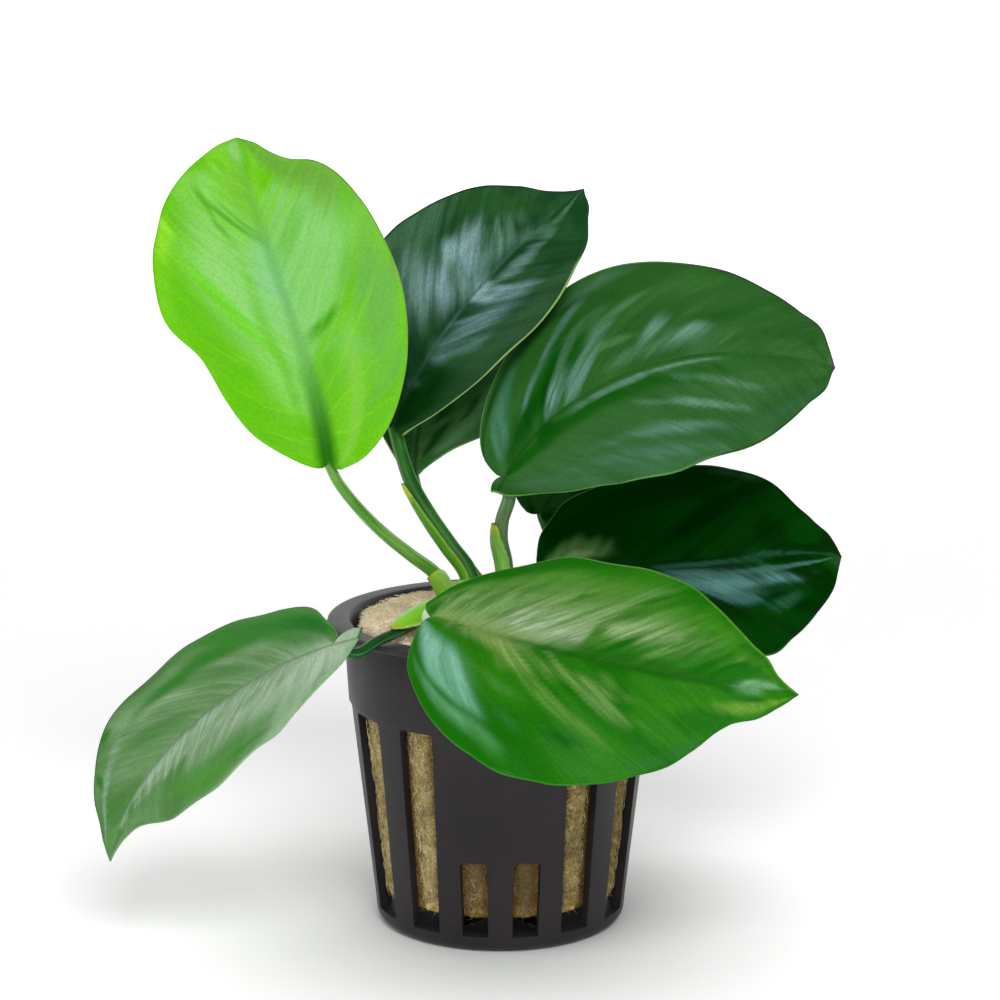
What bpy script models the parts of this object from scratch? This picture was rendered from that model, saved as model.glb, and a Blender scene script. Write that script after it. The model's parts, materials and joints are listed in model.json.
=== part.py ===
# A potted anubias: a broad-leaved water plant whose rhizome lies on a plug of
# rockwool in a black slotted net pot. Lengths below are in millimetres and
# angles in degrees. The origin is the centre of the pot's underside, +Z is up
# and the pot's plain front panel faces -Y.

import math
from collections import namedtuple

import bmesh
import bpy
import numpy as np
from mathutils import Matrix, Vector

MM = 0.001
GAP = 0.3

# Pot
POT_HEIGHT = 50.3
RIM_RADIUS = 28.0
RIM_DEPTH = 1.2
RIM_INNER_RADIUS = 25.2
WALL = 1.5
BAND_RADIUS = 25.3
BAND_FOOT_Z = 36.9
BODY_TOP_RADIUS = 24.2
BODY_FOOT_RADIUS = 20.4
SLOT_FOOT_Z = 2.8
SLOT_TOP_Z = 36.3
SHORT_SLOT_TOP_Z = 15.4
FOOT_FILLET = 2.6
POT_STEPS = 60

# Slots of one quarter as centre angle from the front, width at the top, width
# at the foot, lean of the foot away from the front and height of the top; the
# other three quarters mirror them
SLOTS = (
    (11.2, 4.4, 4.1, 0.0, SHORT_SLOT_TOP_Z),
    (34.2, 6.2, 5.1, 0.4, SLOT_TOP_Z),
    (62.6, 7.5, 6.4, 0.5, SLOT_TOP_Z),
    (90.0, 7.0, 5.8, 0.0, SLOT_TOP_Z),
)
SLOT_CORNER = 0.7
FLOOR_SLOT_COUNT = 6
FLOOR_SLOT_WIDTH = 3.0
FLOOR_SLOT_SPAN = (7.0, 13.0)
WALL_SLOT_SPAN = (15.0, 31.0)

# Rockwool plug
WOOL_TOP_Z = 50.2
WOOL_FOOT_Z = 5.3
WOOL_TOP_RADIUS = 22.9
WOOL_EDGE = 1.6
WOOL_DOME = 0.3
WOOL_STEPS = 40

# Rhizome: a stout creeping stem that lies on the wool, from its growing end
RHIZOME_PATH = ((-9.5, -3.6, 54.9), (-6.0, -2.0, 53.9), (-1.0, 0.8, 53.8), (4.5, 4.2, 53.6))
RHIZOME_RADII = (1.9, 2.9, 2.9, 2.2)

# Leaf blades
BLADE_THICKNESS = 0.6
BLADE_ROWS = 11
BLADE_COLUMNS = 4
STATIONS = (0.0, 0.1, 0.25, 0.4, 0.55, 0.7, 0.85, 0.95)
VEIN_SWEEP = 1.3
VEIN_BOW = 0.10

# One leaf. Its midrib is a curve with four control points from the stalk to
# the tip. Its upper side faces one direction at the base and another at the
# tip. Each half is folded up from the flat by an angle at the base and one at
# the tip, and has a lobe (how far back, how far out) and a half width at each
# of the stations along the midrib. The curl lifts both margins, and the wave
# is the height and number of the ripples along them.
Leaf = namedtuple("Leaf", "midrib faces left_fold right_fold left_lobe left right_lobe right curl wave")

LEAVES = {
    1: Leaf(
        midrib=((-27.0, -10.0, 77.5), (-29.5, -5.0, 95.0), (-38.5, 1.0, 110.0), (-42.0, 8.0, 126.5)),
        faces=((0.0, -1.0, 0.35), (0.0, -1.0, 0.35)),
        left_fold=(0, 0), right_fold=(0, 0),
        left_lobe=(1.0, 1.5), left=(4.0, 9.5, 13.5, 15.5, 18.5, 18.0, 14.0, 7.5),
        right_lobe=(1.3, 2.0), right=(6.0, 12.0, 16.0, 18.0, 18.0, 16.5, 12.5, 3.5),
        curl=1.0, wave=(0.5, 3.0),
    ),
    2: Leaf(
        midrib=((-17.0, 4.0, 81.0), (-10.5, 5.0, 96.5), (0.5, 12.5, 107.5), (13.5, 13.0, 118.0)),
        faces=((0.2, -1.0, 0.3), (0.2, -1.0, 0.3)),
        left_fold=(0, 0), right_fold=(35, 25),
        left_lobe=(1.5, 3.0), left=(5.0, 10.0, 15.0, 17.0, 16.0, 13.0, 7.0, 1.5),
        right_lobe=(1.0, 2.4), right=(3.0, 6.5, 10.0, 11.5, 12.5, 11.5, 8.5, 4.5),
        curl=-0.8, wave=(0.4, 3.0),
    ),
    3: Leaf(
        midrib=((-14.0, 11.0, 72.0), (-14.0, 15.0, 82.0), (-9.0, 26.0, 95.0), (-3.0, 36.0, 103.0)),
        faces=((0.3, -1.0, 0.6), (0.3, -1.0, 0.8)),
        left_fold=(-12, -30), right_fold=(0, 0),
        left_lobe=(0.6, 1.0), left=(1.8, 5.0, 9.5, 13.0, 14.0, 12.5, 7.5, 3.0),
        right_lobe=(0.5, 0.8), right=(1.2, 5.5, 12.5, 16.0, 15.5, 13.0, 8.0, 3.5),
        curl=0.6, wave=(0.4, 3.0),
    ),
    4: Leaf(
        midrib=((1.0, 0.0, 73.3), (10.5, -2.0, 91.0), (33.5, -4.5, 97.5), (52.5, -6.0, 91.5)),
        faces=((0.0, -1.0, 0.9), (0.0, -1.0, 0.7)),
        left_fold=(0, 0), right_fold=(0, 0),
        left_lobe=(0.8, 2.2), left=(5.0, 10.5, 16.0, 20.0, 19.0, 15.5, 10.0, 5.0),
        right_lobe=(4.4, -0.5), right=(5.0, 11.0, 15.5, 18.0, 19.0, 17.5, 14.0, 7.5),
        curl=-1.2, wave=(0.4, 3.5),
    ),
    5: Leaf(
        midrib=((8.5, 7.0, 54.0), (24.0, 10.5, 57.0), (41.0, 13.5, 58.0), (57.0, 16.0, 56.5)),
        faces=((0.0, -0.5, 0.85), (0.0, -1.0, 0.6)),
        left_fold=(30, 0), right_fold=(30, 5),
        left_lobe=(1.3, 4.6), left=(6.5, 13.0, 15.5, 16.5, 17.0, 14.5, 9.0, 4.5),
        right_lobe=(1.5, 3.5), right=(6.0, 11.0, 15.5, 18.5, 20.5, 19.0, 13.0, 6.0),
        curl=-0.6, wave=(0.4, 3.0),
    ),
    6: Leaf(
        midrib=((-10.5, -25.0, 56.0), (6.0, -34.5, 53.0), (25.5, -36.5, 49.0), (44.0, -41.0, 48.0)),
        faces=((0.0, -0.6, 1.0), (0.0, -1.0, 0.5)),
        left_fold=(0, 0), right_fold=(0, 0),
        left_lobe=(2.3, 2.5), left=(8.5, 13.5, 17.0, 17.5, 16.5, 14.0, 7.5, 2.0),
        right_lobe=(0.6, 4.5), right=(8.0, 15.0, 21.0, 22.0, 19.5, 14.0, 5.5, 2.5),
        curl=-0.8, wave=(0.5, 3.5),
    ),
    7: Leaf(
        midrib=((-25.5, -27.0, 52.0), (-41.0, -25.5, 47.0), (-57.5, -23.5, 32.5), (-61.0, -22.0, 16.0)),
        faces=((-0.7, -0.6, 1.0), (-0.3, -0.8, 0.7)),
        left_fold=(0, 0), right_fold=(0, 0),
        left_lobe=(2.4, 3.2), left=(5.5, 9.5, 12.5, 13.5, 12.0, 9.0, 3.0, 0.8),
        right_lobe=(4.3, 2.2), right=(4.5, 11.0, 13.5, 15.0, 14.5, 13.5, 8.5, 2.5),
        curl=-0.6, wave=(0.5, 3.0),
    ),
    8: Leaf(
        midrib=((7.0, 29.0, 61.5), (12.0, 31.0, 70.0), (25.0, 34.0, 80.0), (36.0, 38.0, 82.0)),
        faces=((0.0, -1.0, 0.8), (0.0, -1.0, 0.8)),
        left_fold=(0, 0), right_fold=(0, 0),
        left_lobe=(1.0, 2.5), left=(5.0, 9.0, 12.0, 13.5, 13.5, 11.0, 7.0, 3.0),
        right_lobe=(1.0, 2.0), right=(4.0, 8.0, 11.5, 13.0, 13.0, 11.0, 7.0, 3.0),
        curl=-0.6, wave=(0.3, 3.0),
    ),
}

# Stalks, from inside the rhizome to just below the blade, with the radius at
# the foot and at the top
Stalk = namedtuple("Stalk", "path radii")

STALKS = {
    1: Stalk(((-8.6, -3.4, 54.5), (-10.3, -4.4, 58.0), (-14.1, -5.5, 61.3), (-18.3, -7.0, 65.1),
              (-22.1, -8.0, 69.2), (-25.5, -9.0, 73.9)), (1.1, 0.8)),
    2: Stalk(((-4.0, -0.6, 53.5), (-5.2, 0.5, 57.7), (-8.1, 1.5, 61.6), (-11.4, 2.5, 66.3),
              (-14.4, 3.5, 71.5), (-15.9, 4.0, 75.9)), (1.3, 1.1)),
    3: Stalk(((-2.2, 1.2, 53.8), (-5.2, 5.0, 57.2), (-8.4, 6.2, 60.4), (-11.4, 7.6, 64.6),
              (-13.4, 9.2, 68.6)), (1.0, 0.8)),
    4: Stalk(((1.2, 2.0, 53.8), (0.8, 3.2, 58.5), (0.1, 3.0, 62.1), (0.3, 2.0, 65.6),
              (1.4, 1.0, 69.4)), (1.2, 1.1)),
    5: Stalk(((4.2, 2.8, 53.4), (6.4, 5.0, 52.4)), (1.1, 0.9)),
    6: Stalk(((-4.4, -1.8, 53.6), (-6.6, -8.5, 55.6), (-9.2, -15.5, 56.2),
              (-10.5, -21.0, 55.6)), (1.1, 0.9)),
    7: Stalk(((-8.4, -3.0, 53.6), (-11.8, -8.5, 52.4), (-14.0, -13.5, 51.9), (-16.3, -18.0, 51.7),
              (-19.0, -21.8, 51.3), (-22.0, -25.2, 50.3)), (0.95, 0.8)),
    8: Stalk(((1.6, 3.6, 53.8), (3.4, 8.6, 54.2), (7.2, 16.0, 54.6), (8.8, 24.0, 55.6),
              (8.2, 29.0, 58.0)), (1.0, 0.9)),
}

# Sheaths: the remains of the leaf base that stand along one side of a stalk,
# as the stretch of the stalk they cover, the side they lie on and how far
# round the stalk they reach
Sheath = namedtuple("Sheath", "start end side reach")

SHEATHS = {
    1: Sheath(0.02, 0.17, (-0.4, -0.9, 0.1), 110.0),
    2: Sheath(0.05, 0.70, (-1.0, -0.3, -0.4), 80.0),
    4: Sheath(0.05, 0.60, (-1.0, -0.3, 0.0), 80.0),
    7: Sheath(0.10, 0.62, (0.1, 0.2, 1.0), 85.0),
    8: Sheath(0.10, 0.86, (-1.0, 0.0, 0.5), 80.0),
}
SHEATH_THICKNESS = 0.4
SHEATH_ROWS = 7
SHEATH_COLUMNS = 4

# Linear colours, roughness and metallic value of each material
MATERIALS = {
    "pot_plastic": ((0.040, 0.037, 0.040), 0.45, 0.0),
    "rockwool": ((0.55, 0.37, 0.15), 0.95, 0.0),
    "young_leaf": ((0.15, 0.55, 0.03), 0.35, 0.0),
    "mature_leaf": ((0.02, 0.13, 0.02), 0.30, 0.0),
    "leaf_stalk": ((0.06, 0.22, 0.03), 0.40, 0.0),
    "leaf_sheath": ((0.30, 0.55, 0.08), 0.45, 0.0),
    "rhizome_skin": ((0.10, 0.18, 0.04), 0.60, 0.0),
}


def clear_scene():
    for leftover in list(bpy.data.objects):
        bpy.data.objects.remove(leftover)


def new_collection(name):
    collection = bpy.data.collections.new(name)
    bpy.context.scene.collection.children.link(collection)
    return collection


def make_material(name):
    colour, roughness, metallic = MATERIALS[name]
    material = bpy.data.materials.new(name)
    material.use_nodes = True
    shader = material.node_tree.nodes["Principled BSDF"]
    shader.inputs["Base Color"].default_value = (*colour, 1.0)
    shader.inputs["Roughness"].default_value = roughness
    shader.inputs["Metallic"].default_value = metallic
    return material


def add_object(name, mesh, collection, material):
    """Link a mesh as an object; its points are in millimetres until here."""
    mesh.transform(Matrix.Scale(MM, 4))
    mesh.materials.clear()
    mesh.materials.append(material)
    mesh.shade_smooth()
    mesh.set_sharp_from_angle(angle=math.radians(40.0))
    made = bpy.data.objects.new(name, mesh)
    collection.objects.link(made)
    return made


def smooth_curve(points, count):
    """Count points, evenly spaced, on a smooth curve through the given ones."""
    knots = np.array(points, dtype=float)
    steps = np.sqrt(np.linalg.norm(np.diff(knots, axis=0), axis=1))
    times = np.concatenate([[0.0], np.cumsum(steps)])
    slopes = np.gradient(knots, times, axis=0)
    fine = np.linspace(0.0, times[-1], 40 * len(knots))
    index = np.clip(np.searchsorted(times, fine, side="right") - 1, 0, len(knots) - 2)
    span = (times[index + 1] - times[index])[:, None]
    t = ((fine - times[index])[:, None]) / span
    dense = (
        (2 * t**3 - 3 * t**2 + 1) * knots[index]
        + (t**3 - 2 * t**2 + t) * span * slopes[index]
        + (3 * t**2 - 2 * t**3) * knots[index + 1]
        + (t**3 - t**2) * span * slopes[index + 1]
    )
    return resample(dense, count)


def resample(dense, count):
    lengths = np.concatenate([[0.0], np.cumsum(np.linalg.norm(np.diff(dense, axis=0), axis=1))])
    wanted = np.linspace(0.0, lengths[-1], count)
    return np.stack([np.interp(wanted, lengths, dense[:, axis]) for axis in range(dense.shape[1])], axis=1)


def unit(vectors):
    return vectors / np.linalg.norm(vectors, axis=-1, keepdims=True)


class Blade:
    """The surface of a leaf, addressed by distances along and across it."""

    def __init__(self, leaf):
        self.leaf = leaf
        corners = np.array(leaf.midrib)
        t = np.linspace(0.0, 1.0, 200)[:, None]
        curve = (
            (1 - t) ** 3 * corners[0]
            + 3 * (1 - t) ** 2 * t * corners[1]
            + 3 * (1 - t) * t**2 * corners[2]
            + t**3 * corners[3]
        )
        self.rib = curve
        self.tangents = unit(np.gradient(curve, axis=0))
        self.lengths = np.concatenate([[0.0], np.cumsum(np.linalg.norm(np.diff(curve, axis=0), axis=1))])
        self.length = self.lengths[-1]

    def at(self, along, values):
        return np.array([np.interp(along, self.lengths, values[:, axis]) for axis in range(3)])

    def frame(self, along):
        """Point on the midrib, its direction, the leaf's right and its face."""
        held = min(max(along, 0.0), self.length)
        point = self.at(held, self.rib)
        tangent = unit(self.at(held, self.tangents))
        share = held / self.length
        base_face, tip_face = (unit(np.array(face)) for face in self.leaf.faces)
        right = unit(np.cross(tangent, (1 - share) * base_face + share * tip_face))
        face = np.cross(right, tangent)
        return point + (along - held) * tangent, tangent, right, face, share

    def half_outline(self, side, count):
        """Flat points (along, across) from the back of a lobe to the tip."""
        leaf = self.leaf
        lobe, widths = (leaf.right_lobe, leaf.right) if side > 0 else (leaf.left_lobe, leaf.left)
        stations = [(share * self.length, width) for share, width in zip(STATIONS, widths)]
        return smooth_curve([(-lobe[0], lobe[1]), *stations, (self.length, 0.0)], count)

    def point(self, along, across, edge_share):
        """Place a flat point in space; edge_share is 0 on the midrib, 1 on the margin."""
        leaf = self.leaf
        point, _, right, face, share = self.frame(along)
        fold = leaf.right_fold if across >= 0 else leaf.left_fold
        angle = math.radians((1 - share) * fold[0] + share * fold[1])
        reach = abs(across)
        height, ripples = leaf.wave
        phase = 2 * math.pi * ripples * share + (0.0 if across >= 0 else math.pi / 2)
        lift = leaf.curl * edge_share**2 * math.sin(math.pi * min(max(share, 0.0), 1.0))
        lift += height * edge_share**2 * math.sin(phase) * math.sin(math.pi * share)
        sideways = math.copysign(1.0, across) * (reach * math.cos(angle)) * right
        return point + sideways + (reach * math.sin(angle) + lift) * face


def blade_mesh(name, leaf):
    """A grid laid over the leaf: its rows are the side veins, its columns run to the tip."""
    blade = Blade(leaf)
    outlines = {side: blade.half_outline(side, BLADE_ROWS + 1) for side in (-1, 1)}
    grid = bmesh.new()
    bmesh.ops.create_grid(grid, x_segments=BLADE_ROWS, y_segments=2 * BLADE_COLUMNS, size=1.0)
    for vertex in grid.verts:
        row = round((vertex.co.x + 1.0) / 2.0 * BLADE_ROWS)
        column = round(vertex.co.y * BLADE_COLUMNS)
        side = -1 if column > 0 else 1
        edge_share = abs(column) / BLADE_COLUMNS
        root = np.array([blade.length * (row / BLADE_ROWS) ** VEIN_SWEEP, 0.0])
        margin = outlines[side][row]
        flat = root + edge_share * (margin - root)
        bow = VEIN_BOW * edge_share * (1 - edge_share) * 4 * abs(margin[1])
        flat[0] -= bow
        vertex.co = Vector(blade.point(flat[0], side * flat[1], edge_share))
    bmesh.ops.remove_doubles(grid, verts=grid.verts, dist=0.001)
    mesh = bpy.data.meshes.new(name)
    grid.to_mesh(mesh)
    grid.free()
    return mesh


def add_thickness(made, thickness):
    shell = made.modifiers.new("thickness", "SOLIDIFY")
    shell.thickness = thickness * MM
    shell.offset = 0.0
    shell.use_even_offset = True


def tube_mesh(name, path, radii):
    """A closed tube along a path, as a welded mesh."""
    curve = bpy.data.curves.new(name + "_line", "CURVE")
    curve.dimensions = "3D"
    curve.bevel_depth = 1.0
    curve.bevel_resolution = 2
    curve.use_fill_caps = True
    spline = curve.splines.new("POLY")
    spline.points.add(len(path) - 1)
    for point, place, radius in zip(spline.points, path, radii):
        point.co = (*place, 1.0)
        point.radius = radius
    line = bpy.data.objects.new(name + "_line", curve)
    bpy.context.scene.collection.objects.link(line)
    evaluated = line.evaluated_get(bpy.context.evaluated_depsgraph_get())
    mesh = bpy.data.meshes.new_from_object(evaluated)
    bpy.data.objects.remove(line)
    body = bmesh.new()
    body.from_mesh(mesh)
    bmesh.ops.remove_doubles(body, verts=body.verts, dist=0.001)
    bmesh.ops.recalc_face_normals(body, faces=body.faces)
    body.to_mesh(mesh)
    body.free()
    mesh.name = name
    return mesh


def rhizome_mesh(name, extra):
    """The rhizome, or a copy of it that is wider by some extra radius."""
    count = 9
    path = smooth_curve(RHIZOME_PATH, count)
    radii = np.interp(np.linspace(0, 3, count), range(4), RHIZOME_RADII) + extra
    ends = unit(path[[0, -1]] - path[[1, -2]])
    path = np.concatenate([[path[0] + (0.8 + extra) * ends[0]], path, [path[-1] + (0.8 + extra) * ends[1]]])
    radii = np.concatenate([[0.55 * radii[0]], radii, [0.55 * radii[-1]]])
    return tube_mesh(name, path, radii)


def stalk_line(number):
    """Points along a stalk, up to the foot of its blade."""
    blade = Blade(LEAVES[number])
    foot, tangent, _, face, _ = blade.frame(0.0)
    below = BLADE_THICKNESS / 2 + GAP + STALKS[number].radii[1]
    top = foot - GAP * tangent - below * face
    count = 5 if number == 5 else 9
    return smooth_curve([*STALKS[number].path, top], count)


def sheath_mesh(name, number):
    """A strip that wraps one side of a stalk and narrows to a point."""
    sheath = SHEATHS[number]
    line = stalk_line(number)
    dense = smooth_curve(line, 100)
    directions = unit(np.gradient(dense, axis=0))
    foot_radius, top_radius = STALKS[number].radii
    grid = bmesh.new()
    bmesh.ops.create_grid(grid, x_segments=SHEATH_ROWS, y_segments=SHEATH_COLUMNS, size=1.0)
    for vertex in grid.verts:
        share = (vertex.co.x + 1.0) / 2.0
        place = sheath.start + share * (sheath.end - sheath.start)
        index = min(int(round(place * 99)), 99)
        tangent = directions[index]
        outward = np.array(sheath.side)
        outward = unit(outward - np.dot(outward, tangent) * tangent)
        beside = np.cross(tangent, outward)
        angle = math.radians(sheath.reach) * vertex.co.y * math.sqrt(max(1.0 - share**2, 0.0))
        clear = foot_radius + (top_radius - foot_radius) * place + GAP + SHEATH_THICKNESS
        vertex.co = Vector(dense[index] + clear * (math.cos(angle) * outward + math.sin(angle) * beside))
    bmesh.ops.remove_doubles(grid, verts=grid.verts, dist=0.001)
    mesh = bpy.data.meshes.new(name)
    grid.to_mesh(mesh)
    grid.free()
    return mesh


def turned(name, profile, steps, collection, material):
    """A turned piece from (radius, height) points that run down its outer side."""
    mesh = bpy.data.meshes.new(name)
    points = [(radius, 0.0, height) for radius, height in profile]
    mesh.from_pydata(points, [(i, i + 1) for i in range(len(points) - 1)], [])
    made = add_object(name, mesh, collection, material)
    screw = made.modifiers.new("turn", "SCREW")
    screw.axis = "Z"
    screw.angle = 2 * math.pi
    screw.steps = steps
    screw.render_steps = steps
    screw.use_merge_vertices = True
    screw.merge_threshold = 0.00001
    return made


def body_radius(height):
    """Outer radius of the tapered pot wall below its plain band."""
    slope = (BODY_TOP_RADIUS - BODY_FOOT_RADIUS) / (SLOT_TOP_Z - SLOT_FOOT_Z)
    return BODY_FOOT_RADIUS + slope * (height - SLOT_FOOT_Z)


def pot_profile():
    lip_top = POT_HEIGHT - 0.5
    fillet_top = 2.2
    fillet = []
    for step in range(4):
        angle = math.radians(90.0 * step / 3)
        radius = body_radius(fillet_top) - FOOT_FILLET * (1 - math.cos(angle))
        fillet.append((radius, fillet_top * (1 - math.sin(angle))))
    return [
        (0.0, WALL),
        (body_radius(WALL) - WALL - 0.8, WALL),
        (body_radius(SLOT_FOOT_Z) - WALL, SLOT_FOOT_Z),
        (BAND_RADIUS - WALL, POT_HEIGHT - RIM_DEPTH - 0.1),
        (RIM_INNER_RADIUS - 1.0, POT_HEIGHT - 0.2),
        (RIM_INNER_RADIUS, POT_HEIGHT),
        (RIM_RADIUS - 0.4, lip_top + 0.2),
        (RIM_RADIUS, lip_top - 0.2),
        (RIM_RADIUS - 0.1, POT_HEIGHT - RIM_DEPTH),
        (BAND_RADIUS, POT_HEIGHT - RIM_DEPTH),
        (body_radius(BAND_FOOT_Z) + 0.3, BAND_FOOT_Z),
        (body_radius(BAND_FOOT_Z), BAND_FOOT_Z - 0.3),
        *fillet,
        (0.0, 0.0),
    ]


def tapered_box(name, angle, near, far, width_foot, width_top, lean, foot, top, corner):
    """A box that points outward at an angle from the front, with two rounded top corners."""
    body = bmesh.new()
    bmesh.ops.create_cube(body, size=1.0)
    for vertex in body.verts:
        width = width_top if vertex.co.z > 0 else width_foot
        shift = -lean if vertex.co.z > 0 else lean
        distance = near if vertex.co.y > 0 else far
        height = top if vertex.co.z > 0 else foot
        vertex.co = Vector((vertex.co.x * width + shift, -distance, height))
    if corner:
        rounded = [
            edge for edge in body.edges
            if edge.verts[0].co.z == edge.verts[1].co.z == top and edge.verts[0].co.y != edge.verts[1].co.y
        ]
        bmesh.ops.bevel(body, geom=rounded, offset=corner, segments=2, profile=0.5, affect="EDGES")
    bmesh.ops.rotate(body, verts=body.verts, matrix=Matrix.Rotation(math.radians(angle), 3, "Z"))
    mesh = bpy.data.meshes.new(name)
    body.to_mesh(mesh)
    body.free()
    return mesh


def add_slot_cutters(cutters, material):
    boxes = []
    for angle, top_width, foot_width, lean, top in SLOTS:
        for placed in sorted({angle, 180.0 - angle, 180.0 + angle, 360.0 - angle}):
            away = math.copysign(lean, math.sin(math.radians(2 * placed)))
            widths = (foot_width, top_width)
            boxes.append((placed, *WALL_SLOT_SPAN, *widths, away, SLOT_FOOT_Z, top, SLOT_CORNER))
    for index in range(FLOOR_SLOT_COUNT):
        placed = 360.0 * (index + 0.5) / FLOOR_SLOT_COUNT
        widths = (FLOOR_SLOT_WIDTH, FLOOR_SLOT_WIDTH)
        boxes.append((placed, *FLOOR_SLOT_SPAN, *widths, 0.0, -1.0, WALL + 0.5, 0.0))
    for index, box in enumerate(boxes):
        name = f"slot_cutter_{index}"
        hide_cutter(add_object(name, tapered_box(name, *box), cutters, material))


def hide_cutter(cutter):
    cutter.hide_render = True
    cutter.display_type = "WIRE"


def cut(made, cutters):
    """Take every piece of a collection of cutters away from an object."""
    boolean = made.modifiers.new("cut", "BOOLEAN")
    boolean.operation = "DIFFERENCE"
    boolean.solver = "EXACT"
    boolean.operand_type = "COLLECTION"
    boolean.collection = cutters


def wool_profile():
    """Down the outside of the plug, which fits the pot's tapered inner wall."""
    clearance = GAP + 0.05
    shoulder = WOOL_TOP_Z - WOOL_EDGE
    return [
        (0.0, WOOL_TOP_Z + WOOL_DOME),
        (WOOL_TOP_RADIUS * 0.55, WOOL_TOP_Z + WOOL_DOME * 0.6),
        (WOOL_TOP_RADIUS - WOOL_EDGE, WOOL_TOP_Z),
        (WOOL_TOP_RADIUS - 0.4, WOOL_TOP_Z - 0.5),
        (WOOL_TOP_RADIUS, shoulder),
        (body_radius(SLOT_TOP_Z) - WALL - clearance, SLOT_TOP_Z),
        (body_radius(WOOL_FOOT_Z) - WALL - clearance, WOOL_FOOT_Z),
        (0.0, WOOL_FOOT_Z),
    ]


def build():
    clear_scene()
    plant = new_collection("potted_anubias")
    slot_cutters = new_collection("slot_cutters")
    seat_cutter = new_collection("rhizome_seat_cutter")
    materials = {name: make_material(name) for name in MATERIALS}

    pot = turned("net_pot", pot_profile(), POT_STEPS, plant, materials["pot_plastic"])
    add_slot_cutters(slot_cutters, materials["pot_plastic"])
    cut(pot, slot_cutters)
    turned("rockwool", wool_profile(), WOOL_STEPS, plant, materials["rockwool"])

    add_object("rhizome", rhizome_mesh("rhizome", 0.0), plant, materials["rhizome_skin"])
    name = "rhizome_seat"
    hide_cutter(add_object(name, rhizome_mesh(name, GAP), seat_cutter, materials["rhizome_skin"]))

    for number, leaf in LEAVES.items():
        kind = "young_leaf" if number == 1 else "mature_leaf"
        name = f"leaf_{number}_blade"
        blade = add_object(name, blade_mesh(name, leaf), plant, materials[kind])
        add_thickness(blade, BLADE_THICKNESS)

        name = f"leaf_{number}_stalk"
        line = stalk_line(number)
        radii = np.linspace(*STALKS[number].radii, len(line))
        stalk = add_object(name, tube_mesh(name, line, radii), plant, materials["leaf_stalk"])
        cut(stalk, seat_cutter)

    for number in SHEATHS:
        name = f"leaf_{number}_sheath"
        sheath = add_object(name, sheath_mesh(name, number), plant, materials["leaf_sheath"])
        add_thickness(sheath, SHEATH_THICKNESS)
        cut(sheath, seat_cutter)


build()
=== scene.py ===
# The look of a potted anubias: leaves with veins, stalks with their sheaths, a
# creeping rhizome, matted rockwool and a moulded net pot. Lengths are in
# millimetres and angles in degrees, except in the studio and in the materials,
# where lengths are in metres. The frame is that of the solids.

import json
import math
from collections import namedtuple
from functools import partial

import bmesh
import bpy
import numpy as np
from mathutils import Matrix, Vector, noise

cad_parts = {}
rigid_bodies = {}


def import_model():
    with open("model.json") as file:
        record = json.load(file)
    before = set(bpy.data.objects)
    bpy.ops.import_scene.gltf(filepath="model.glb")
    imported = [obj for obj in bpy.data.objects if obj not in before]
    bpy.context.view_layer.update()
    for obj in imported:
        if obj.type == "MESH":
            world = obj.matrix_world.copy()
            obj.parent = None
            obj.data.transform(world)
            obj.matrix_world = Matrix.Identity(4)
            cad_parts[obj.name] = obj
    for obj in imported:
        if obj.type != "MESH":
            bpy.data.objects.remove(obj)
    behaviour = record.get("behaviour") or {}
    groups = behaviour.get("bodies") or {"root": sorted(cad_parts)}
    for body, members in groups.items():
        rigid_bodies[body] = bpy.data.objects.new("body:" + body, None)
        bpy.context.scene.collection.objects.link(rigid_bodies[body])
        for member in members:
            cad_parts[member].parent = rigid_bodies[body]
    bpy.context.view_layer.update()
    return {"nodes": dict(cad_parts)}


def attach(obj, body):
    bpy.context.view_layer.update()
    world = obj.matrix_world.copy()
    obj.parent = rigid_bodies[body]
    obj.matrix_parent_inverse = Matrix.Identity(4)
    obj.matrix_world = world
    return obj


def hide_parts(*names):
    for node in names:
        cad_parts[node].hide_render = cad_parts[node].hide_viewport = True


MM = 0.001
CURVE_FINENESS = 40

# Leaf blades: thickness, its share left at the margin, the grid's fineness and
# the two leaves whose skins differ. Two scales serve both a leaf's colours and its
# skin: the broad noise's along and across, and how far apart its halves' noise is.
BLADE_THICKNESS = 0.55
MARGIN_THICKNESS_SHARE = 0.45
BLADE_ROWS = 170
BLADE_COLUMNS = 34
YOUNG_LEAF = 1
DARK_LEAF = 5
VEINS_PER_LEAF = 17.0
BROAD_SCALES = (7.0, 2.0)
HALVES_APART = 4.0

# How far each lobe's grid lines bow outward, by leaf and side, over how many rows
LOBE_ROUNDING = {(7, -1): 1.1, (4, 1): 0.9}
USUAL_ROUNDING = 0.3
LOBE_ROWS = 8

# Height of the swells between the side veins, by leaf, how many of each length
# there are, and the depth of the furrow over the midrib
SWELLS = {1: 0.55, 2: 0.9, 4: 0.65, 6: 0.65, 7: 0.3}
USUAL_SWELL = 0.6
SWELL_WAVES = (7, 11, 16, 23)
SWELL_SEED = 40
FURROW_DEPTH = 0.2

# Where along the midrib the half widths are given, and how the grid's lines
# gather at its foot and bow on their way to the margin
STATIONS = (0.0, 0.1, 0.25, 0.4, 0.55, 0.7, 0.85, 0.95)
VEIN_SWEEP = 1.3
VEIN_BOW = 0.10

# One leaf, as in the solids: the midrib's four control points, the direction
# that its upper side faces at the base and at the tip, how far each half is
# folded up there, and each half's lobe and half widths along the midrib
Leaf = namedtuple("Leaf", "midrib faces left_fold right_fold left_lobe left right_lobe right curl wave")

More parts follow.
